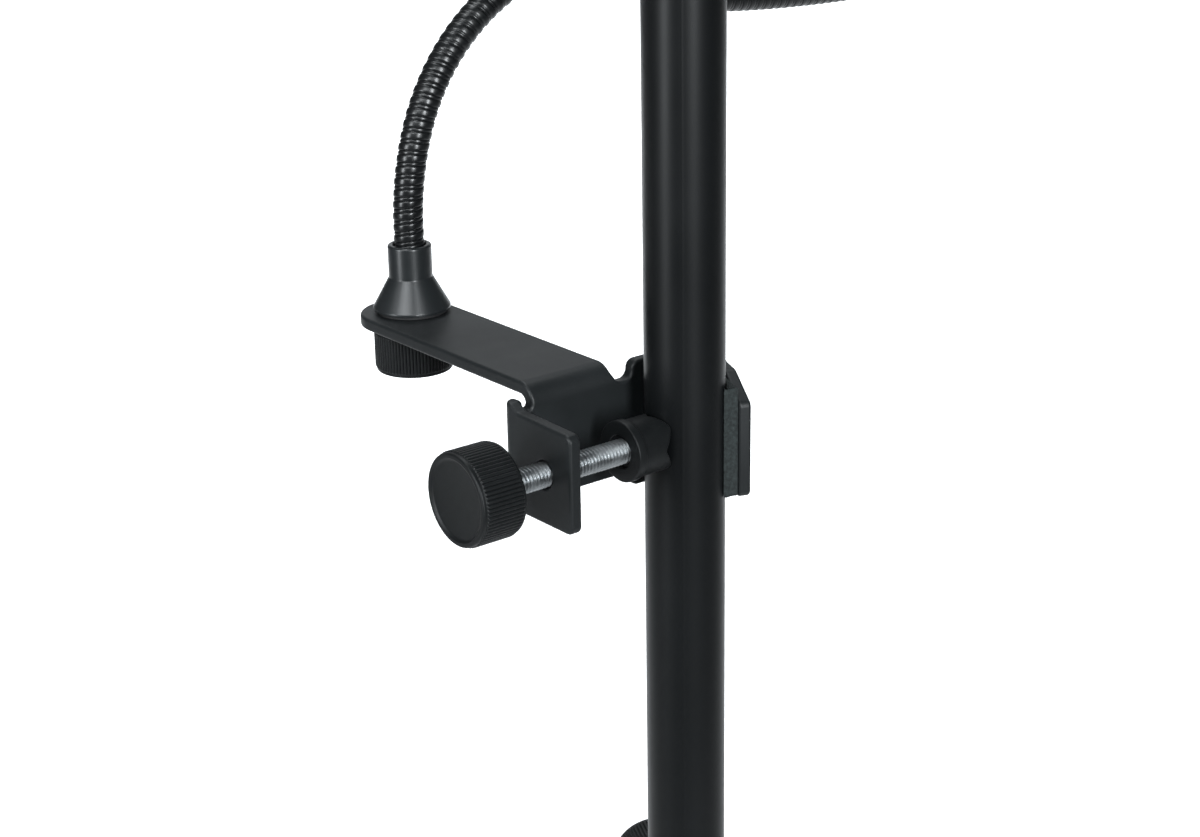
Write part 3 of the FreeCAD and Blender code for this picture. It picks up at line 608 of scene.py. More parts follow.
class Strip:
    """Mid line of a bent plate in its own plane: straight runs joined by round bends."""

    def __init__(self, corners, radius):
        points = [Vector(c) for c in corners]
        heads = [(points[k + 1] - points[k]).normalized() for k in range(len(points) - 1)]
        self.runs = []
        self.cuts = []
        at = 0.0
        begin = points[0]
        for k, head in enumerate(heads):
            stop = points[k + 1]
            back = 0.0
            if k + 1 < len(heads):
                turn = head.x * heads[k + 1].y - head.y * heads[k + 1].x
                angle = math.copysign(head.angle(heads[k + 1]), turn)
                back = radius * math.tan(abs(angle) / 2)
            run = (stop - head * back - begin).length
            self.runs.append((at, at + run, begin, head, 0.0))
            at += run
            if back:
                bend = radius * abs(angle)
                self.runs.append((at, at + bend, stop - head * back, head, angle / bend))
                steps = max(3, int(abs(angle) / 0.12))
                self.cuts += [at + bend * j / steps for j in range(steps + 1)]
                self.cuts += [at - 0.3, at + bend + 0.3]
                begin = stop + heads[k + 1] * back
                at += bend
        self.length = at

    def at(self, s):
        """Point and left-hand normal at a distance along the strip."""
        for start, end, begin, head, curl in self.runs:
            if s <= end or end == self.length:
                run = s - start
                if not curl:
                    return begin + head * run, Vector((-head.y, head.x))
                a = curl * run
                along = math.sin(a) / curl
                across = (1 - math.cos(a)) / curl
                left = Vector((-head.y, head.x))
                place = begin + head * along + left * across
                now = head * math.cos(a) + left * math.sin(a)
                return place, Vector((-now.y, now.x))
        raise RuntimeError("outside the strip")


def offset_loop(loop, inset):
    """Move a closed outline inwards (material on its left) by a small inset."""
    out = []
    count = len(loop)
    for k in range(count):
        p = Vector(loop[k])
        before = (p - Vector(loop[k - 1])).normalized()
        after = (Vector(loop[(k + 1) % count]) - p).normalized()
        n = Vector((-before.y - after.y, before.x + after.x))
        if n.length < 1e-9:
            n = Vector((-after.y, after.x))
        n.normalize()
        lean_out = max(0.5, n.dot(Vector((-after.y, after.x))))
        out.append(p + n * (inset / lean_out))
    return out


def plate_piece(name, outline, holes, thickness, edge, cuts_x, cuts_y, place):
    """A plate with rounded edges, drawn flat as (x, y) and then bent by place(x, y, n)."""
    cage = bmesh.new()
    half = thickness / 2
    side = []
    for j in range(7):
        a = math.pi / 2 * j / 6
        side.append((edge * (1 - math.sin(a)), half - edge * (1 - math.cos(a))))
    if half - edge > 0.3:
        side.append((0.0, half - edge - 0.15))
    profile = [(edge + 0.25, half)] + side
    profile += [(inset, -n) for inset, n in reversed(profile)]
    caps = ([], [])
    for loop in [outline] + holes:
        rows = []
        for inset, n in profile:
            rows.append([cage.verts.new((p.x, p.y, n)) for p in offset_loop(loop, inset)])
        count = len(loop)
        for row in range(len(rows) - 1):
            for k in range(count):
                m = (k + 1) % count
                cage.faces.new((rows[row][k], rows[row][m], rows[row + 1][m], rows[row + 1][k]))
        for cap, row in ((caps[0], rows[0]), (caps[1], rows[-1])):
            for k in range(count):
                cap.append(cage.edges.get((row[k], row[(k + 1) % count])))
    for cap in caps:
        bmesh.ops.triangle_fill(cage, use_beauty=True, edges=cap)
    for values, normal in ((cuts_x, Vector((1, 0, 0))), (cuts_y, Vector((0, 1, 0)))):
        for value in values:
            bmesh.ops.bisect_plane(
                cage, geom=cage.verts[:] + cage.edges[:] + cage.faces[:],
                plane_co=normal * value, plane_no=normal, dist=0.0005)
    bmesh.ops.triangulate(cage, faces=[f for f in cage.faces if len(f.verts) > 4])
    for vert in cage.verts:
        vert.co = Vector(place(vert.co.x, vert.co.y, vert.co.z)) * MM
    bmesh.ops.remove_doubles(cage, verts=cage.verts, dist=0.002 * MM)
    bmesh.ops.recalc_face_normals(cage, faces=cage.faces)
    mesh = bpy.data.meshes.new(name)
    cage.to_mesh(mesh)
    cage.free()
    mesh.shade_smooth()
    mesh.set_sharp_from_angle(angle=math.radians(40.0))
    piece = bpy.data.objects.new(name, mesh)
    bpy.context.scene.collection.objects.link(piece)
    return piece


def circle_loop(x, y, radius, count=40):
    """A hole's outline, with the material on its left."""
    return [(x + radius * math.cos(-2 * math.pi * k / count),
             y + radius * math.sin(-2 * math.pi * k / count)) for k in range(count)]


# ---- knobs ----------------------------------------------------------------------------


def knob_piece(name, radius, depth, place, dish=0.6):
    """A moulded knob: fine round ribs between a plain rear edge and a rounded front rim."""
    ribs = sizes().knob_ribs
    rib = sizes().rib_depth / MM
    body = radius - rib
    front = depth - 1.35
    rows = [(body, 1.0 + 0.2 * j) for j in range(5)]
    rows += [(body, 1.8 + (front - 2.4) * j / 6) for j in range(1, 7)]
    rows += [(body, front - 0.6 + 0.14 * j) for j in range(1, 6)]
    head = rounded([(body, front + 0.2, 0), (body, depth, 1.0), (radius * 0.87, depth, 0.5),
                    (radius * 0.82, depth - dish, 1.2), (0, depth - dish * 1.5, 0)], steps=8)
    profile = rounded([(0, 0, 0), (body, 0, 0.5), (body, 0.9, 0)]) + rows + head

    def shape(angle, r, h):
        if r < body - 0.001 or h < 0.95 or h > front + 0.1:
            return r
        lead = min(1.0, (h - 0.95) / 0.5, max(0.0, front + 0.1 - h) / 0.5)
        lead = math.sqrt(max(0.0, 1 - (1 - lead) ** 2))
        across = (angle * ribs / (2 * math.pi)) % 1.0 * 2 - 1
        return r + rib * lead * math.sqrt(max(0.0, 1 - across ** 2))
    points, faces = skin(turned_rings(profile, place, ribs * 8, shape), (False, False))
    return new_piece(name, points, faces, sharp=75.0)


class STAND_OT_knobs(bpy.types.Operator):
    """Clamp knob, clutch knob and lock knob, with their ribs"""

    bl_idname = "stand.knobs"
    bl_label = "Knobs"

    def execute(self, context):
        low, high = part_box("thumb_knob")
        radius = (high.z - low.z) / 2 / MM
        place = axis_frame((high.x / MM, 0, (low.z + high.z) / 2 / MM), (-1, 0, 0))
        depth = (high.x - low.x) / MM
        round_radius = min(radius, KNOB_RADIUS)
        carry(knob_piece("clamp_knob", round_radius, depth, place), "thumb_knob")
        angle = CLUTCH_BEARING
        place = axis_frame((31 * math.cos(angle), 31 * math.sin(angle), CLUTCH_HEIGHT),
                           (math.cos(angle), math.sin(angle), 0))
        carry(knob_piece("height_knob", round_radius, depth, place), "clutch_knob")
        low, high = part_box("lock_knob")
        centre = (low + high) / 2 / MM
        place = axis_frame((centre.x, centre.y, high.z / MM), (0, 0, -1))
        radius = (high.x - low.x) / 2 / MM
        carry(knob_piece("arm_knob", radius, (high.z - low.z) / MM, place, dish=0.4), "lock_knob")
        return {"FINISHED"}


# ---- clamp ----------------------------------------------------------------------------

CLAMP_Z = 800.0
PLATE = 4.1
WEB_MID = 18.25
JAW_MID = -52.65
JAW_EDGE = 13.3
ARM_BEND = 4.5
WRAP_BEND = 2.6
ARM_LEFT = -45.8
ARM_RIGHT = -15.0
ARM_END = 105.9
ARM_MID = 19.1
ARM_LEAD = 30.0
ARM_RUN = 130.0
NECK_AT = (-29.0, 104.7)
REAR_LEAN = math.radians(22.0)
REAR_SEAT = 14.7
REAR_REACH = 8.2
FOOT_BACK = -25.7
FOOT_GROOVE = math.radians(31.0)


def rear_axes():
    """Directions of the rear jaw in plan: out through the plate, and along to its free edge."""
    outward = Vector((math.cos(REAR_LEAN), -math.sin(REAR_LEAN)))
    forward = Vector((-math.sin(REAR_LEAN), -math.cos(REAR_LEAN)))
    return outward, forward


class STAND_OT_clamp_plate(bpy.types.Operator):
    """The clamp's bent plate with its arm, slot and notch"""

    bl_idname = "stand.clamp_plate"
    bl_label = "Clamp plate"

    def execute(self, context):
        outward, forward = rear_axes()
        seat = outward * (REAR_SEAT + PLATE / 2)
        corner = seat + forward * ((WEB_MID - seat.y) / forward.y)
        tip = seat + forward * REAR_REACH
        wrap = Strip([(JAW_MID, -JAW_EDGE), (JAW_MID, WEB_MID), corner[:], tip[:]], WRAP_BEND)
        arm = Strip([(WEB_MID, -ARM_LEAD), (WEB_MID, ARM_MID), (ARM_RUN, ARM_MID)], ARM_BEND)
        web_start = WEB_MID - WRAP_BEND + JAW_EDGE + WRAP_BEND * math.pi / 2

        def along_web(x):
            return web_start + x - (JAW_MID + WRAP_BEND)

        def height(w):
            return w + ARM_LEAD

        left = along_web(ARM_LEFT)
        right = along_web(ARM_RIGHT)
        slot = left - 3.41
        notch = along_web(-7.3)
        end = wrap.length
        arm_length = arm.length - (ARM_RUN - ARM_END) - ARM_LEAD
        middle = (left + right) / 2
        half = (right - left) / 2
        tip_arc = [(middle + half * math.cos(math.pi * k / 40),
                    arm_length + half * math.sin(math.pi * k / 40), 0) for k in range(41)]
        corners = [(0, -15.7, 2.6), (along_web(-14), -15.7, 3), (along_web(-6), -20.6, 3),
                   (end, -20.6, 2.2), (end, 10.2, 2.5), (end - 14.2, 16.9, 5),
                   (end - 22.7, 16.9, 5), (end - 28.2, 20.6, 5), (notch, 20.6, 3.0),
                   (notch, 15.0, 3.84), (right, 15.0, 3.84)]
        corners += tip_arc
        corners += [(left, 13.8, 1.7), (slot, 13.8, 1.7), (slot, 17.8, 3.2), (29.5, 17.8, 2.0),
                    (25.5, 15.8, 3.0), (0, 15.2, 2.6)]
        outline = rounded(corners, loop=True, steps=9)
        stud = (along_web(NECK_AT[0]), arm_length - ARM_END + NECK_AT[1])
        holes = [circle_loop(13.3, 0, 4.15), circle_loop(*stud, 4.15)]

        def place(x, y, n):
            on_arm = left - 1.2 < x < right + 1.2 and y > 13.3
            if on_arm:
                spot, normal = arm.at(height(y))
                flat = spot - normal * n
                return (x - web_start + JAW_MID + WRAP_BEND, flat.x, CLAMP_Z + flat.y)
            spot, normal = wrap.at(x)
            flat = spot + normal * n
            return (flat.x, flat.y, CLAMP_Z + y)
        bends = [cut - ARM_LEAD for cut in arm.cuts]
        piece = plate_piece("clamp_plate", outline, holes, PLATE, sizes().plate_edge / MM,
                            wrap.cuts, bends, place)
        carry(piece, "clamp_bracket")
        return {"FINISHED"}


class STAND_OT_clamp_pad(bpy.types.Operator):
    """The foam pad glued to the rear jaw and pressed to the mast"""

    bl_idname = "stand.clamp_pad"
    bl_label = "Clamp pad"

    def execute(self, context):
        outward, forward = rear_axes()
        back = REAR_SEAT - 0.05
        pressed = sizes().mast_radius / MM + 0.12
        inner = REAR_SEAT - 5.4
        outline = [(back, -15.0, 0.8), (back, 8.2, 0.8)]
        outline.append((max(inner, math.sqrt(pressed ** 2 - 8.2 ** 2)), 8.2, 1.1))
        for k in range(1, 24):
            t = 8.2 - 1.0 * k * 16.4 / 24
            outline.append((math.sqrt(pressed ** 2 - t * t), t, 0))
        outline.append((inner, -9.2, 0))
        outline.append((inner, -15.0, 1.1))
        loop = [Vector(p) for p in rounded(outline, loop=True, steps=5)]
        dense = []
        for k, p in enumerate(loop):
            after = loop[(k + 1) % len(loop)]
            steps = max(1, int((after - p).length / 0.45))
            dense += [p.lerp(after, j / steps) for j in range(steps)]
        grain = sizes().foam_grain / MM
        low, high = -19.8, 15.5
        rings = []
        heights = [(0.9, low), (0.35, low + 0.12), (0.08, low + 0.4), (0.0, low + 0.8)]
        heights += [(0.0, low + 0.8 + (high - low - 1.6) * j / 70) for j in range(1, 71)]
        heights += [(0.08, high - 0.4), (0.35, high - 0.12), (0.9, high)]
        for inset, z in heights:
            ring = []
            for p in offset_loop(dense, -inset if self.winds_left(dense) < 0 else inset):
                place = outward * p.x + forward * p.y
                spot = Vector((place.x, place.y, CLAMP_Z + z))
                lump = noise.noise(spot * 1.6) + 0.7 * noise.noise(spot * 3.3)
                push = (place - outward * 12.5).normalized()
                free = min(1.0, abs(back - p.x) / 0.6)
                spot += Vector((push.x, push.y, 0.25)) * (grain * lump * free)
                ring.append(spot)
            rings.append(ring)
        points, faces = skin(rings)
        piece = new_piece("foam_pad", points, faces, sharp=70.0)
        carry(piece, "clamp_pad")
        return {"FINISHED"}

    def winds_left(self, loop):
        """Signed area of a loop."""
        return sum(p.x * loop[(k + 1) % len(loop)].y - p.y * loop[(k + 1) % len(loop)].x
                   for k, p in enumerate(loop))


class STAND_OT_clamp_foot(bpy.types.Operator):
    """The swivel foot with crossed grooves for the mast"""

    bl_idname = "stand.clamp_foot"
    bl_label = "Clamp foot"

    def execute(self, context):
        back = FOOT_BACK
        slope = math.tan(FOOT_GROOVE)
        floor = -(sizes().mast_radius / MM + 0.1) / math.cos(FOOT_GROOVE)
        count = 144

        def crown(angle, r):
            y = abs(r * math.cos(angle))
            z = abs(r * math.sin(angle))
            low = min(y, z)
            gap = abs(y - z)
            ease = 0.35 * max(0.0, 1 - gap / 1.4) ** 2
            return floor + slope * max(0.25, low) - slope * ease
        rim = rounded([(4.02, back + 3, 0), (4.02, back + 1.0, 0), (5.2, back + 1.0, 0),
                       (5.2, back, 0.3), (9.6, back, 0.45), (9.6, back + 3.0, 0.6),
                       (9.0, back + 3.3, 0.3), (9.0, back + 4.5, 0)], steps=5)
        rings = []
        for r, x in rim:
            rings.append([(x, r, k) for k in range(count)])
        for j in range(1, 9):
            rings.append([(j, 9.0, k) for k in range(count)])
        rows = []
        for number, ring in enumerate(rings):
            row = []
            for mark, r, k in ring:
                angle = 2 * math.pi * k / count
                if number < len(rim):
                    x = mark
                else:
                    x = back + 4.5 + (crown(angle, 8.6) - 0.45 - back - 4.5) * mark / 8
                row.append(Vector((x, r * math.cos(angle), CLAMP_Z + r * math.sin(angle))))
            rows.append(row)
        for r, drop in ((8.93, 0.25), (8.78, 0.08), (8.5, 0.0)):
            rows.append(self.ring(crown, r, drop, count))
        for j in range(1, 14):
            rows.append(self.ring(crown, 8.5 * (1 - j / 14), 0.0, count))
        points, faces = skin(rows, (False, True))
        piece = new_piece("swivel_foot", points, faces, sharp=55.0)
        carry(piece, "clamp_foot")
        return {"FINISHED"}

    def ring(self, crown, r, drop, count):
        """One ring of the grooved face."""
        row = []
        for k in range(count):
            angle = 2 * math.pi * k / count
            x = crown(angle, r) - drop
            row.append(Vector((x, r * math.cos(angle), CLAMP_Z + r * math.sin(angle))))
        return row


class STAND_OT_screws(bpy.types.Operator):
    """Threaded screws of the clamp and the height clutch"""

    bl_idname = "stand.screws"
    bl_label = "Screws"

    def execute(self, context):
        low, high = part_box("thumb_screw")
        place = axis_frame((high.x / MM, 0, CLAMP_Z), (-1, 0, 0))
        reach = (high.x - low.x) / MM
        carry(screw_piece("clamp_screw", 0.0, reach, 3.95, place), "thumb_screw")
        angle = CLUTCH_BEARING
        place = axis_frame((0, 0, CLUTCH_HEIGHT), (math.cos(angle), math.sin(angle), 0))
        carry(screw_piece("height_screw", 17.02, 41.0, 3.95, place), "clutch_screw")
        return {"FINISHED"}


# ---- gooseneck ------------------------------------------------------------------------

NECK_START = 36.0
NECK_BENDS = ((0.0, 14.0), (97.0, 18.0), (73.0, 42.0), (67.0, 60.0),
              (92.0, -25.5), (713.0, -4.5), (220.0, -7.0))
NECK_RADIUS = 5.05
STUD_START = 10.6
STUD_END = 21.6
STUD_PITCH = 1.5875


def neck_at(distance):
    """Point of the gooseneck's mid line and its heading, in degrees from upright."""
    x = NECK_AT[0]
    z = CLAMP_Z + NECK_START
    heading = 0.0
    left = distance
    for radius, turn in NECK_BENDS:
        if radius == 0.0:
            run = min(left, turn)
            z += run
            left -= run
        else:
            whole = radius * math.radians(abs(turn))
            run = min(left, whole)
            side = math.copysign(1.0, turn)
            a = math.radians(heading)
            b = a + side * run / radius
            x += side * radius * (math.cos(a) - math.cos(b))
            z += side * radius * (math.sin(b) - math.sin(a))
            heading = math.degrees(b)
            left -= run
        if left <= 0:
            break
    else:
        x += left * math.sin(math.radians(heading))
        z += left * math.cos(math.radians(heading))
    return Vector((x, NECK_AT[1], z)), heading


def neck_length(bends):
    """Length of the gooseneck's first few runs."""
    total = 0.0
    for radius, turn in NECK_BENDS[:bends]:
        total += turn if radius == 0.0 else radius * math.radians(abs(turn))
    return total


def wire_radius(phase, at):
    """Section of the winding: a wide flat band and a narrow, lower one between its turns."""
    groove = sizes().neck_groove / MM
    if phase < 0.66:
        u = phase / 0.33 - 1
        return NECK_RADIUS - groove * (1 - max(0.0, 1 - abs(u) ** 3.4) ** 0.5)
    if 0.69 < phase < 0.97:
        u = (phase - 0.83) / 0.14
        return NECK_RADIUS - groove * (0.55 + 0.45 * (1 - max(0.0, 1 - u ** 4) ** 0.5))
    return NECK_RADIUS - groove * 1.2


class STAND_OT_gooseneck(bpy.types.Operator):
    """The wound neck, in three lengths"""

    bl_idname = "stand.gooseneck"
    bl_label = "Gooseneck"

    def execute(self, context):
        joints = [neck_length(2), neck_length(3), neck_length(5)]
        whole = neck_length(len(NECK_BENDS))
        marks = [0.4, (joints[0] + joints[1]) / 2, (joints[1] + joints[2]) / 2, whole + 0.5]
        spans = [("gooseneck_span_1",), ("gooseneck_span_2",),
                 ("gooseneck_span_3", "gooseneck_span_4")]
        pitch = sizes().neck_pitch / MM
        for number in range(3):
            start, end = marks[number], marks[number + 1]
            grid = helix_rings(self.section(start, pitch), start, end, pitch, 18, 40)
            piece = helix_piece("neck_length_%d" % (number + 1), grid, self.where)
            dress(piece, *spans[number])
            reach = 20.0
            before = neck_at(joints[number] - reach)[0] * MM
            after = neck_at(joints[number] + reach)[0] * MM
            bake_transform(piece)
        return {"FINISHED"}

    def section(self, start, pitch):
        """The winding's section, counted from the neck's foot so that its lengths match."""
        offset = start / pitch

        def radius(phase, at):
            return wire_radius((phase + offset) % 1.0, at)
        return radius

    def where(self, angle, distance, radius):
        """Place of a point on the winding."""
        centre, heading = neck_at(distance)
        a = math.radians(heading)
        across = Vector((math.cos(a), 0, -math.sin(a)))
        side = Vector((0, 1, 0))
        return centre + across * (radius * math.cos(angle)) + side * (radius * math.sin(angle))


class STAND_OT_neck_base(bpy.types.Operator):
    """Turned cone, washers, end ferrule and accessory stud"""

    bl_idname = "stand.neck_base"
    bl_label = "Neck fittings"

    def execute(self, context):
        low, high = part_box("gooseneck_cone")
        foot = low.z / MM - CLAMP_Z
        profile = [(4.2, foot + 4, 0), (4.2, foot, 0), (12.8, foot, 0.35),
                   (12.8, foot + 0.9, 0.45), (7.25, 33.2, 0.5), (7.25, 44.1, 0.9),
                   (5.6, 44.1, 0.5), (5.3, 42.5, 0), (5.3, 39.0, 0)]
        place = axis_frame((NECK_AT[0], NECK_AT[1], CLAMP_Z), (0, 0, 1))
        carry(turned_piece("neck_cone", profile, place, 128, steps=7), "gooseneck_cone")
        for name, node, inner in (("cone_seal", "cone_washer", 4.1), ("arm_washer", "lock_washer", 4.1)):
            low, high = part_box(node)
            radius = (high.x - low.x) / 2 / MM
            place = axis_frame((NECK_AT[0], NECK_AT[1], low.z / MM), (0, 0, 1))
            carry(tube_piece(name, radius, inner, (high.z - low.z) / MM, place, 0.3), node)
        whole = neck_length(len(NECK_BENDS))
        end, heading = neck_at(whole)
        slope = math.radians(heading)
        place = axis_frame(end, (math.sin(slope), 0, math.cos(slope)))
        profile = [(5.35, 0, 0), (5.35, -7.7, 0.2), (6.9, -8, 0.6), (6.9, -5.5, 0.3),
                   (6.5, -5.2, 0.3), (6.5, -4.4, 0.3), (6.9, -4.1, 0.3), (6.9, 8.8, 0.3),
                   (5.9, 10, 0.3), (4.2, 10, 0), (4.2, 8, 0)]
        carry(turned_piece("end_sleeve", profile, place, 96), "end_ferrule")
        thread = thread_radius(4.76, STUD_PITCH, 0.85, STUD_START, STUD_END)
        grid = helix_rings(thread, STUD_START, STUD_END, STUD_PITCH, 12, 48)

        def where(angle, distance, radius):
            return place @ Vector((radius * math.cos(angle), radius * math.sin(angle), distance))
        stud = helix_piece("end_stud", grid, where)
        shank = turned_piece("end_stud_shank", [(0, 2, 0), (3.9, 2, 0), (3.9, 10.8, 0), (0, 10.8, 0)],
                             place, 64)
        stud_mesh = bmesh.new()
        stud_mesh.from_mesh(stud.data)
        stud_mesh.from_mesh(shank.data)
        stud_mesh.to_mesh(stud.data)
        stud_mesh.free()
        bpy.data.objects.remove(shank)
        carry(stud, "accessory_stud")
        return {"FINISHED"}


# ---- mast, base and clutch ------------------------------------------------------------


class STAND_OT_mast(bpy.types.Operator):
    """Upper and lower tubes with rolled ends and a weld seam"""

    bl_idname = "stand.mast"
    bl_label = "Mast"

    def execute(self, context):
        seam = sizes().seam_height / MM
        for name, node, bearing in (("upper_tube", "mast_tube", -134.0), ("lower_post", "lower_tube", 20.0)):
            low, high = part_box(node)
            outer = round((high.x - low.x) / 2 / MM, 2)
            tall = (high.z - low.z) / MM
            inner = outer - 1.5
            rows = [(inner, tall / 2, 0), (inner, 0, 0.2), (outer, 0, 0.5)]
            rows += [(outer, tall * j / 12, 0) for j in range(1, 12)]
            rows += [(outer, tall, 0.5), (inner, tall, 0.2), (inner, tall / 2, 0)]
            at = math.radians(bearing)

            def shape(angle, r, h, outer=outer, at=at):
                if r < outer - 0.6:
                    return r
                away = (angle - at + math.pi) % (2 * math.pi) - math.pi
                return r + seam * math.exp(-(away * outer / 0.4) ** 2)
            place = Matrix.Translation(Vector((0, 0, low.z / MM)))
            points, faces = skin(turned_rings(rounded(rows), place, 240, shape), (False, False))
            carry(new_piece(name, points, faces, sharp=50.0), node)
        return {"FINISHED"}


class STAND_OT_clutch(bpy.types.Operator):
    """The height clutch's moulded collar with its screw boss"""

    bl_idname = "stand.clutch"
    bl_label = "Height clutch"

    def execute(self, context):
        low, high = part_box("clutch_collar")
        base = low.z / MM
        tall = (high.z - low.z) / MM
        angle = CLUTCH_BEARING
        profile = [(15.05, 12.0, 0), (15.05, 0, 0.4), (18.5, 0, 0.6), (21.0, 3.0, 1.2),
                   (21.0, 9.0, 0), (20.5, 9.4, 0), (20.5, 10.2, 0), (21.0, 10.6, 0),
                   (21.0, tall - 4.5, 2.0), (17.0, tall, 1.2), (12.85, tall, 0.4), (12.85, tall - 5, 0)]
        place = Matrix.Translation(Vector((0, 0, base)))
        collar = turned_piece("height_collar", profile, place, 128)
        radial = (math.cos(angle), math.sin(angle), 0)
        spot = axis_frame((0, 0, CLUTCH_HEIGHT), radial)
        boss = turned_piece("boss", [(7.0, 18.0, 0), (11.5, 18.0, 0), (11.5, 28.0, 0.9),
                                     (6.3, 28.0, 0.3), (6.3, 24.0, 0)], spot, 72)
        whole = bmesh.new()
        whole.from_mesh(collar.data)
        whole.from_mesh(boss.data)
        whole.to_mesh(collar.data)
        whole.free()
        bpy.data.objects.remove(boss)
        carry(collar, "clutch_collar")
        return {"FINISHED"}


class STAND_OT_base(bpy.types.Operator):
    """Hub and rubber feet"""

    bl_idname = "stand.base"
    bl_label = "Base"

    def execute(self, context):
        profile = [(15.1, 56.0, 0), (15.1, 110.0, 0.5), (19.0, 110.0, 1.0), (19.0, 107.0, 1.5),
                   (26.0, 92.0, 2.5), (26.0, 54.0, 0.6), (25.4, 53.4, 0.4), (25.4, 52.6, 0.4),
                   (26.0, 52.0, 0.6), (24.5, 50.0, 0.8), (5.3, 50.0, 0.3), (5.3, 56.0, 0), (15.1, 56.0, 0)]
        rings = turned_rings(rounded(profile, steps=6), Matrix.Identity(4), 128)
        points, faces = skin(rings, (False, False))
        carry(new_piece("hub", points, faces), "base_hub")
        for number, bearing in enumerate((0.0, 120.0, 240.0), 1):
            carry(self.foot("foot_cap_%d" % number, bearing), "rubber_foot_%d" % number)
        return {"FINISHED"}

    def foot(self, name, bearing):
        """A ribbed rubber cap, flat where it stands on the floor."""
        turn = Matrix.Rotation(math.radians(bearing), 4, "Z")
        place = turn @ axis_frame((215.0, 0, 12.7), (1, 0, 0))
        profile = [(9.6, 10.0, 0), (9.6, 0, 0.3), (12.0, 0, 0.8), (12.9, 2.5, 0.6)]
        for j in range(4):
            at = 6.0 + 5.0 * j
            profile += [(12.9, at, 0.4), (12.35, at + 0.5, 0.3), (12.35, at + 1.5, 0.3),
                        (12.9, at + 2.0, 0.4)]
        profile += [(12.9, 34.0, 2.4), (0, 34.0, 0)]
        rings = turned_rings(rounded(profile, steps=6), place, 96)
        for ring in rings:
            for point in ring:
                point.z = max(point.z, 0.0)
        points, faces = skin(rings, (False, False))
        return new_piece(name, points, faces)


class STAND_OT_desk(bpy.types.Operator):
    """The folded desk sheet"""

    bl_idname = "stand.desk"
    bl_label = "Desk"

    def execute(self, context):
        tilt = 1162.0
        lean = math.radians(20.0)

        def leaned(x, y, z):
            up = z - tilt
            return (x, y * math.cos(lean) + up * math.sin(lean),
                    tilt - y * math.sin(lean) + up * math.cos(lean))
        back = -24.6
        fold = Strip([(-76.6, tilt - 108), (-76.6, tilt - 120), (back, tilt - 120),
                      (back, tilt + 220), (back + 9, tilt + 220)], 3.0)
        end = fold.length
        corner = end - 9.0
        outline = rounded([(-250, 0, 3.0), (250, 0, 3.0), (250, corner - 8, 24.0),
                           (236, end, 3.0), (-236, end, 3.0), (-250, corner - 8, 24.0)],
                          loop=True, steps=10)

        def place(x, s, n):
            spot, normal = fold.at(s)
            flat = spot + normal * n
            return leaned(x, flat.x, flat.y)
        holes = []
        piece = plate_piece("desk_sheet", outline, holes, 1.2, sizes().sheet_edge / MM, [],
                            fold.cuts, place)
        carry(piece, "desk_panel")
        return {"FINISHED"}


class STAND_OT_fittings(bpy.types.Operator):
    """Finishes on the parts whose shape stays as designed"""

    bl_idname = "stand.fittings"
    bl_label = "Fittings"

    def execute(self, context):
        for node, piece in frame["nodes"].items():
            if not piece.hide_render:
                keep_node(node)
        return {"FINISHED"}


# ---- studio ---------------------------------------------------------------------------


def softbox(name, at, aim, width, height, power):
    """A rectangular light aimed at a point."""
    light = bpy.data.lights.new(name, "AREA")
    light.shape = "RECTANGLE"
    light.size = width
    light.size_y = height
    light.energy = power
    light.color = (0.93, 0.97, 1.0)
    lamp = bpy.data.objects.new(name, light)
    lamp.location = at
    lamp.rotation_euler = (Vector(aim) - Vector(at)).to_track_quat("-Z", "Y").to_euler()
    lamp.visible_camera = False
    bpy.context.scene.collection.objects.link(lamp)
    return lamp


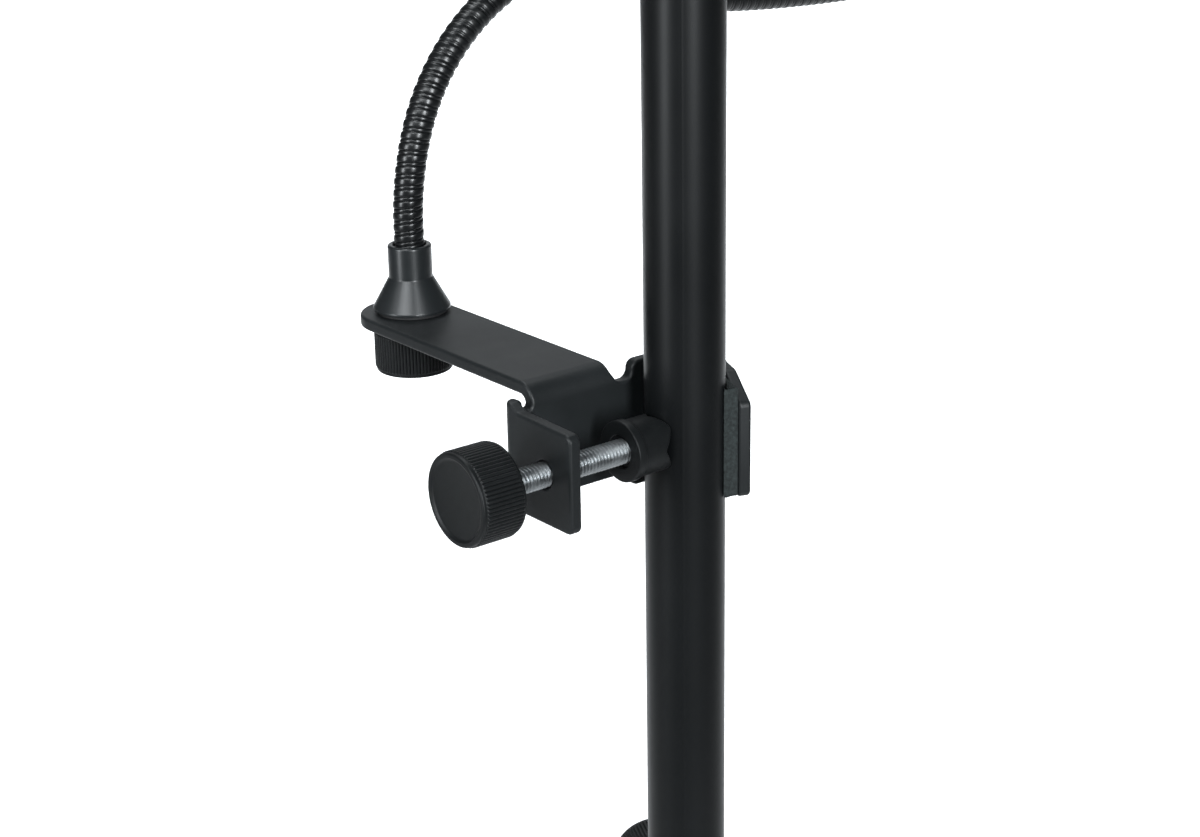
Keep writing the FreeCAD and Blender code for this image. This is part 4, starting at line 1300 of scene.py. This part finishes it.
class STAND_OT_stage(bpy.types.Operator):
    """Pale floor, soft lights and the camera"""

    bl_idname = "stand.stage"
    bl_label = "Studio"

    def execute(self, context):
        scene = context.scene
        scene.view_settings.view_transform = "Standard"
        studio = scene.stand_studio
        world = bpy.data.worlds.new("Studio")
        world.use_nodes = True
        tree = world.node_tree
        sky = tree.nodes["Background"]
        sky.inputs["Color"].default_value = (0.96, 0.98, 1.0, 1.0)
        seen = tree.nodes.new("ShaderNodeLightPath").outputs["Is Camera Ray"]
        level = tree.nodes.new("ShaderNodeMapRange")
        level.inputs["To Min"].default_value = studio.sky
        level.inputs["To Max"].default_value = 1.0
        tree.links.new(seen, level.inputs["Value"])
        tree.links.new(level.outputs["Result"], sky.inputs["Strength"])
        scene.world = world
        self.floor()
        aim = (0.0, 0.05, 0.85)
        softbox("back_wall", (3.1, 3.9, 1.6), aim, 6.0, 2.4, studio.back_wall)
        over = softbox("ceiling", (2.9, 3.6, 3.2), (2.9, 3.6, 0.0), 5.6, 5.6, studio.ceiling)
        over.data.spread = math.radians(95)
        left = softbox("left_box", (-2.2, 0.1, 1.1), aim, 0.6, 1.4, studio.left_box)
        left.data.spread = math.radians(60)
        front = softbox("front_box", (-0.60, -2.4, 1.5), aim, 0.6, 1.5, studio.front_box)
        front.data.spread = math.radians(60)
        high = softbox("high_box", (-2.2, -1.3, 2.5), aim, 2.4, 0.7, studio.high_box)
        high.data.spread = math.radians(70)
        top = softbox("top_box", (-0.2, 0.1, 2.6), aim, 1.2, 1.2, studio.top_box)
        top.data.spread = math.radians(40)
        self.camera(scene)
        return {"FINISHED"}

    def floor(self):
        """A wide round floor."""
        count = 96
        rings = []
        for radius in (0.5, 1.0, 2.0, 4.0, 8.0, 14.0):
            rings.append([Vector((radius * math.cos(2 * math.pi * k / count),
                                  radius * math.sin(2 * math.pi * k / count), 0)) / MM
                          for k in range(count)])
        points, faces = skin(rings, (True, False))
        piece = new_piece("studio_floor", points, faces)
        material = bpy.data.materials.new("Studio floor")
        material.use_nodes = True
        tree = material.node_tree
        surface = tree.nodes["Principled BSDF"]
        base = tuple(colours().floor)
        mask = noise_node(tree, object_coordinates(tree), 2.0, 3.0)
        tone = blend_colour(tree, mask, tint(base, 0.99), tint(base, 1.01))
        tree.links.new(tone, surface.inputs["Base Color"])
        surface.inputs["Roughness"].default_value = 0.9
        surface.inputs["Specular IOR Level"].default_value = 0.1
        seen = tree.nodes.new("ShaderNodeLightPath").outputs["Is Camera Ray"]
        shown = blend_colour(tree, seen, (0.0, 0.0, 0.0), base)
        tree.links.new(shown, surface.inputs["Emission Color"])
        surface.inputs["Emission Strength"].default_value = 0.5
        piece.data.materials.append(material)

    def camera(self, scene):
        """The camera, level with the clamp from the left front and looking down a little."""
        data = bpy.data.cameras.new("camera")
        data.sensor_fit = "HORIZONTAL"
        data.sensor_width = 36.0
        data.lens = 65.87
        data.clip_start = 0.01
        data.clip_end = 50.0
        yaw, pitch, roll = (math.radians(a) for a in (38.21, 19.78, 0.97))
        forward = Vector((math.sin(yaw) * math.cos(pitch), math.cos(yaw) * math.cos(pitch),
                          -math.sin(pitch)))
        level = Vector((math.cos(yaw), -math.sin(yaw), 0))
        upright = level.cross(forward)
        right = level * math.cos(roll) - upright * math.sin(roll)
        up = upright * math.cos(roll) + level * math.sin(roll)
        turn = Matrix((right, up, -forward)).transposed().to_4x4()
        camera = bpy.data.objects.new("camera", data)
        camera.matrix_world = Matrix.Translation((-0.4121, -0.4815, 1.0328)) @ turn
        scene.collection.objects.link(camera)
        scene.camera = camera


# ---- panel and registration -----------------------------------------------------------


class STAND_PT_panel(bpy.types.Panel):
    """Settings and steps of the music stand"""

    bl_idname = "STAND_PT_panel"
    bl_label = "Music Stand"
    bl_space_type = "VIEW_3D"
    bl_region_type = "UI"
    bl_category = "Music Stand"

    def draw(self, context):
        layout = self.layout
        for group in (context.scene.stand_sizes, context.scene.stand_colours,
                      context.scene.stand_studio):
            box = layout.box()
            for name in group.__annotations__:
                box.prop(group, name)
        for step in STEPS:
            layout.operator("stand." + step)


STEPS = ("stage", "mast", "clamp_plate", "clamp_pad", "clamp_foot", "screws", "knobs",
         "neck_base", "gooseneck", "clutch", "base", "desk", "fittings")
CLASSES = (StandSizes, StandColours, StandStudio, STAND_OT_stage, STAND_OT_mast,
           STAND_OT_clamp_plate, STAND_OT_clamp_pad, STAND_OT_clamp_foot, STAND_OT_screws,
           STAND_OT_knobs, STAND_OT_neck_base, STAND_OT_gooseneck, STAND_OT_clutch,
           STAND_OT_base, STAND_OT_desk, STAND_OT_fittings, STAND_PT_panel)


def register():
    """Register the classes and their settings."""
    for cls in CLASSES:
        bpy.utils.register_class(cls)
    bpy.types.Scene.stand_sizes = bpy.props.PointerProperty(type=StandSizes)
    bpy.types.Scene.stand_colours = bpy.props.PointerProperty(type=StandColours)
    bpy.types.Scene.stand_studio = bpy.props.PointerProperty(type=StandStudio)


def unregister():
    """Remove the settings and the classes."""
    del bpy.types.Scene.stand_studio
    del bpy.types.Scene.stand_colours
    del bpy.types.Scene.stand_sizes
    for cls in reversed(CLASSES):
        bpy.utils.unregister_class(cls)


def main():
    """Build every piece in order."""
    register()
    for step in STEPS:
        getattr(bpy.ops.stand, step)()


if __name__ == "__main__":
    main()
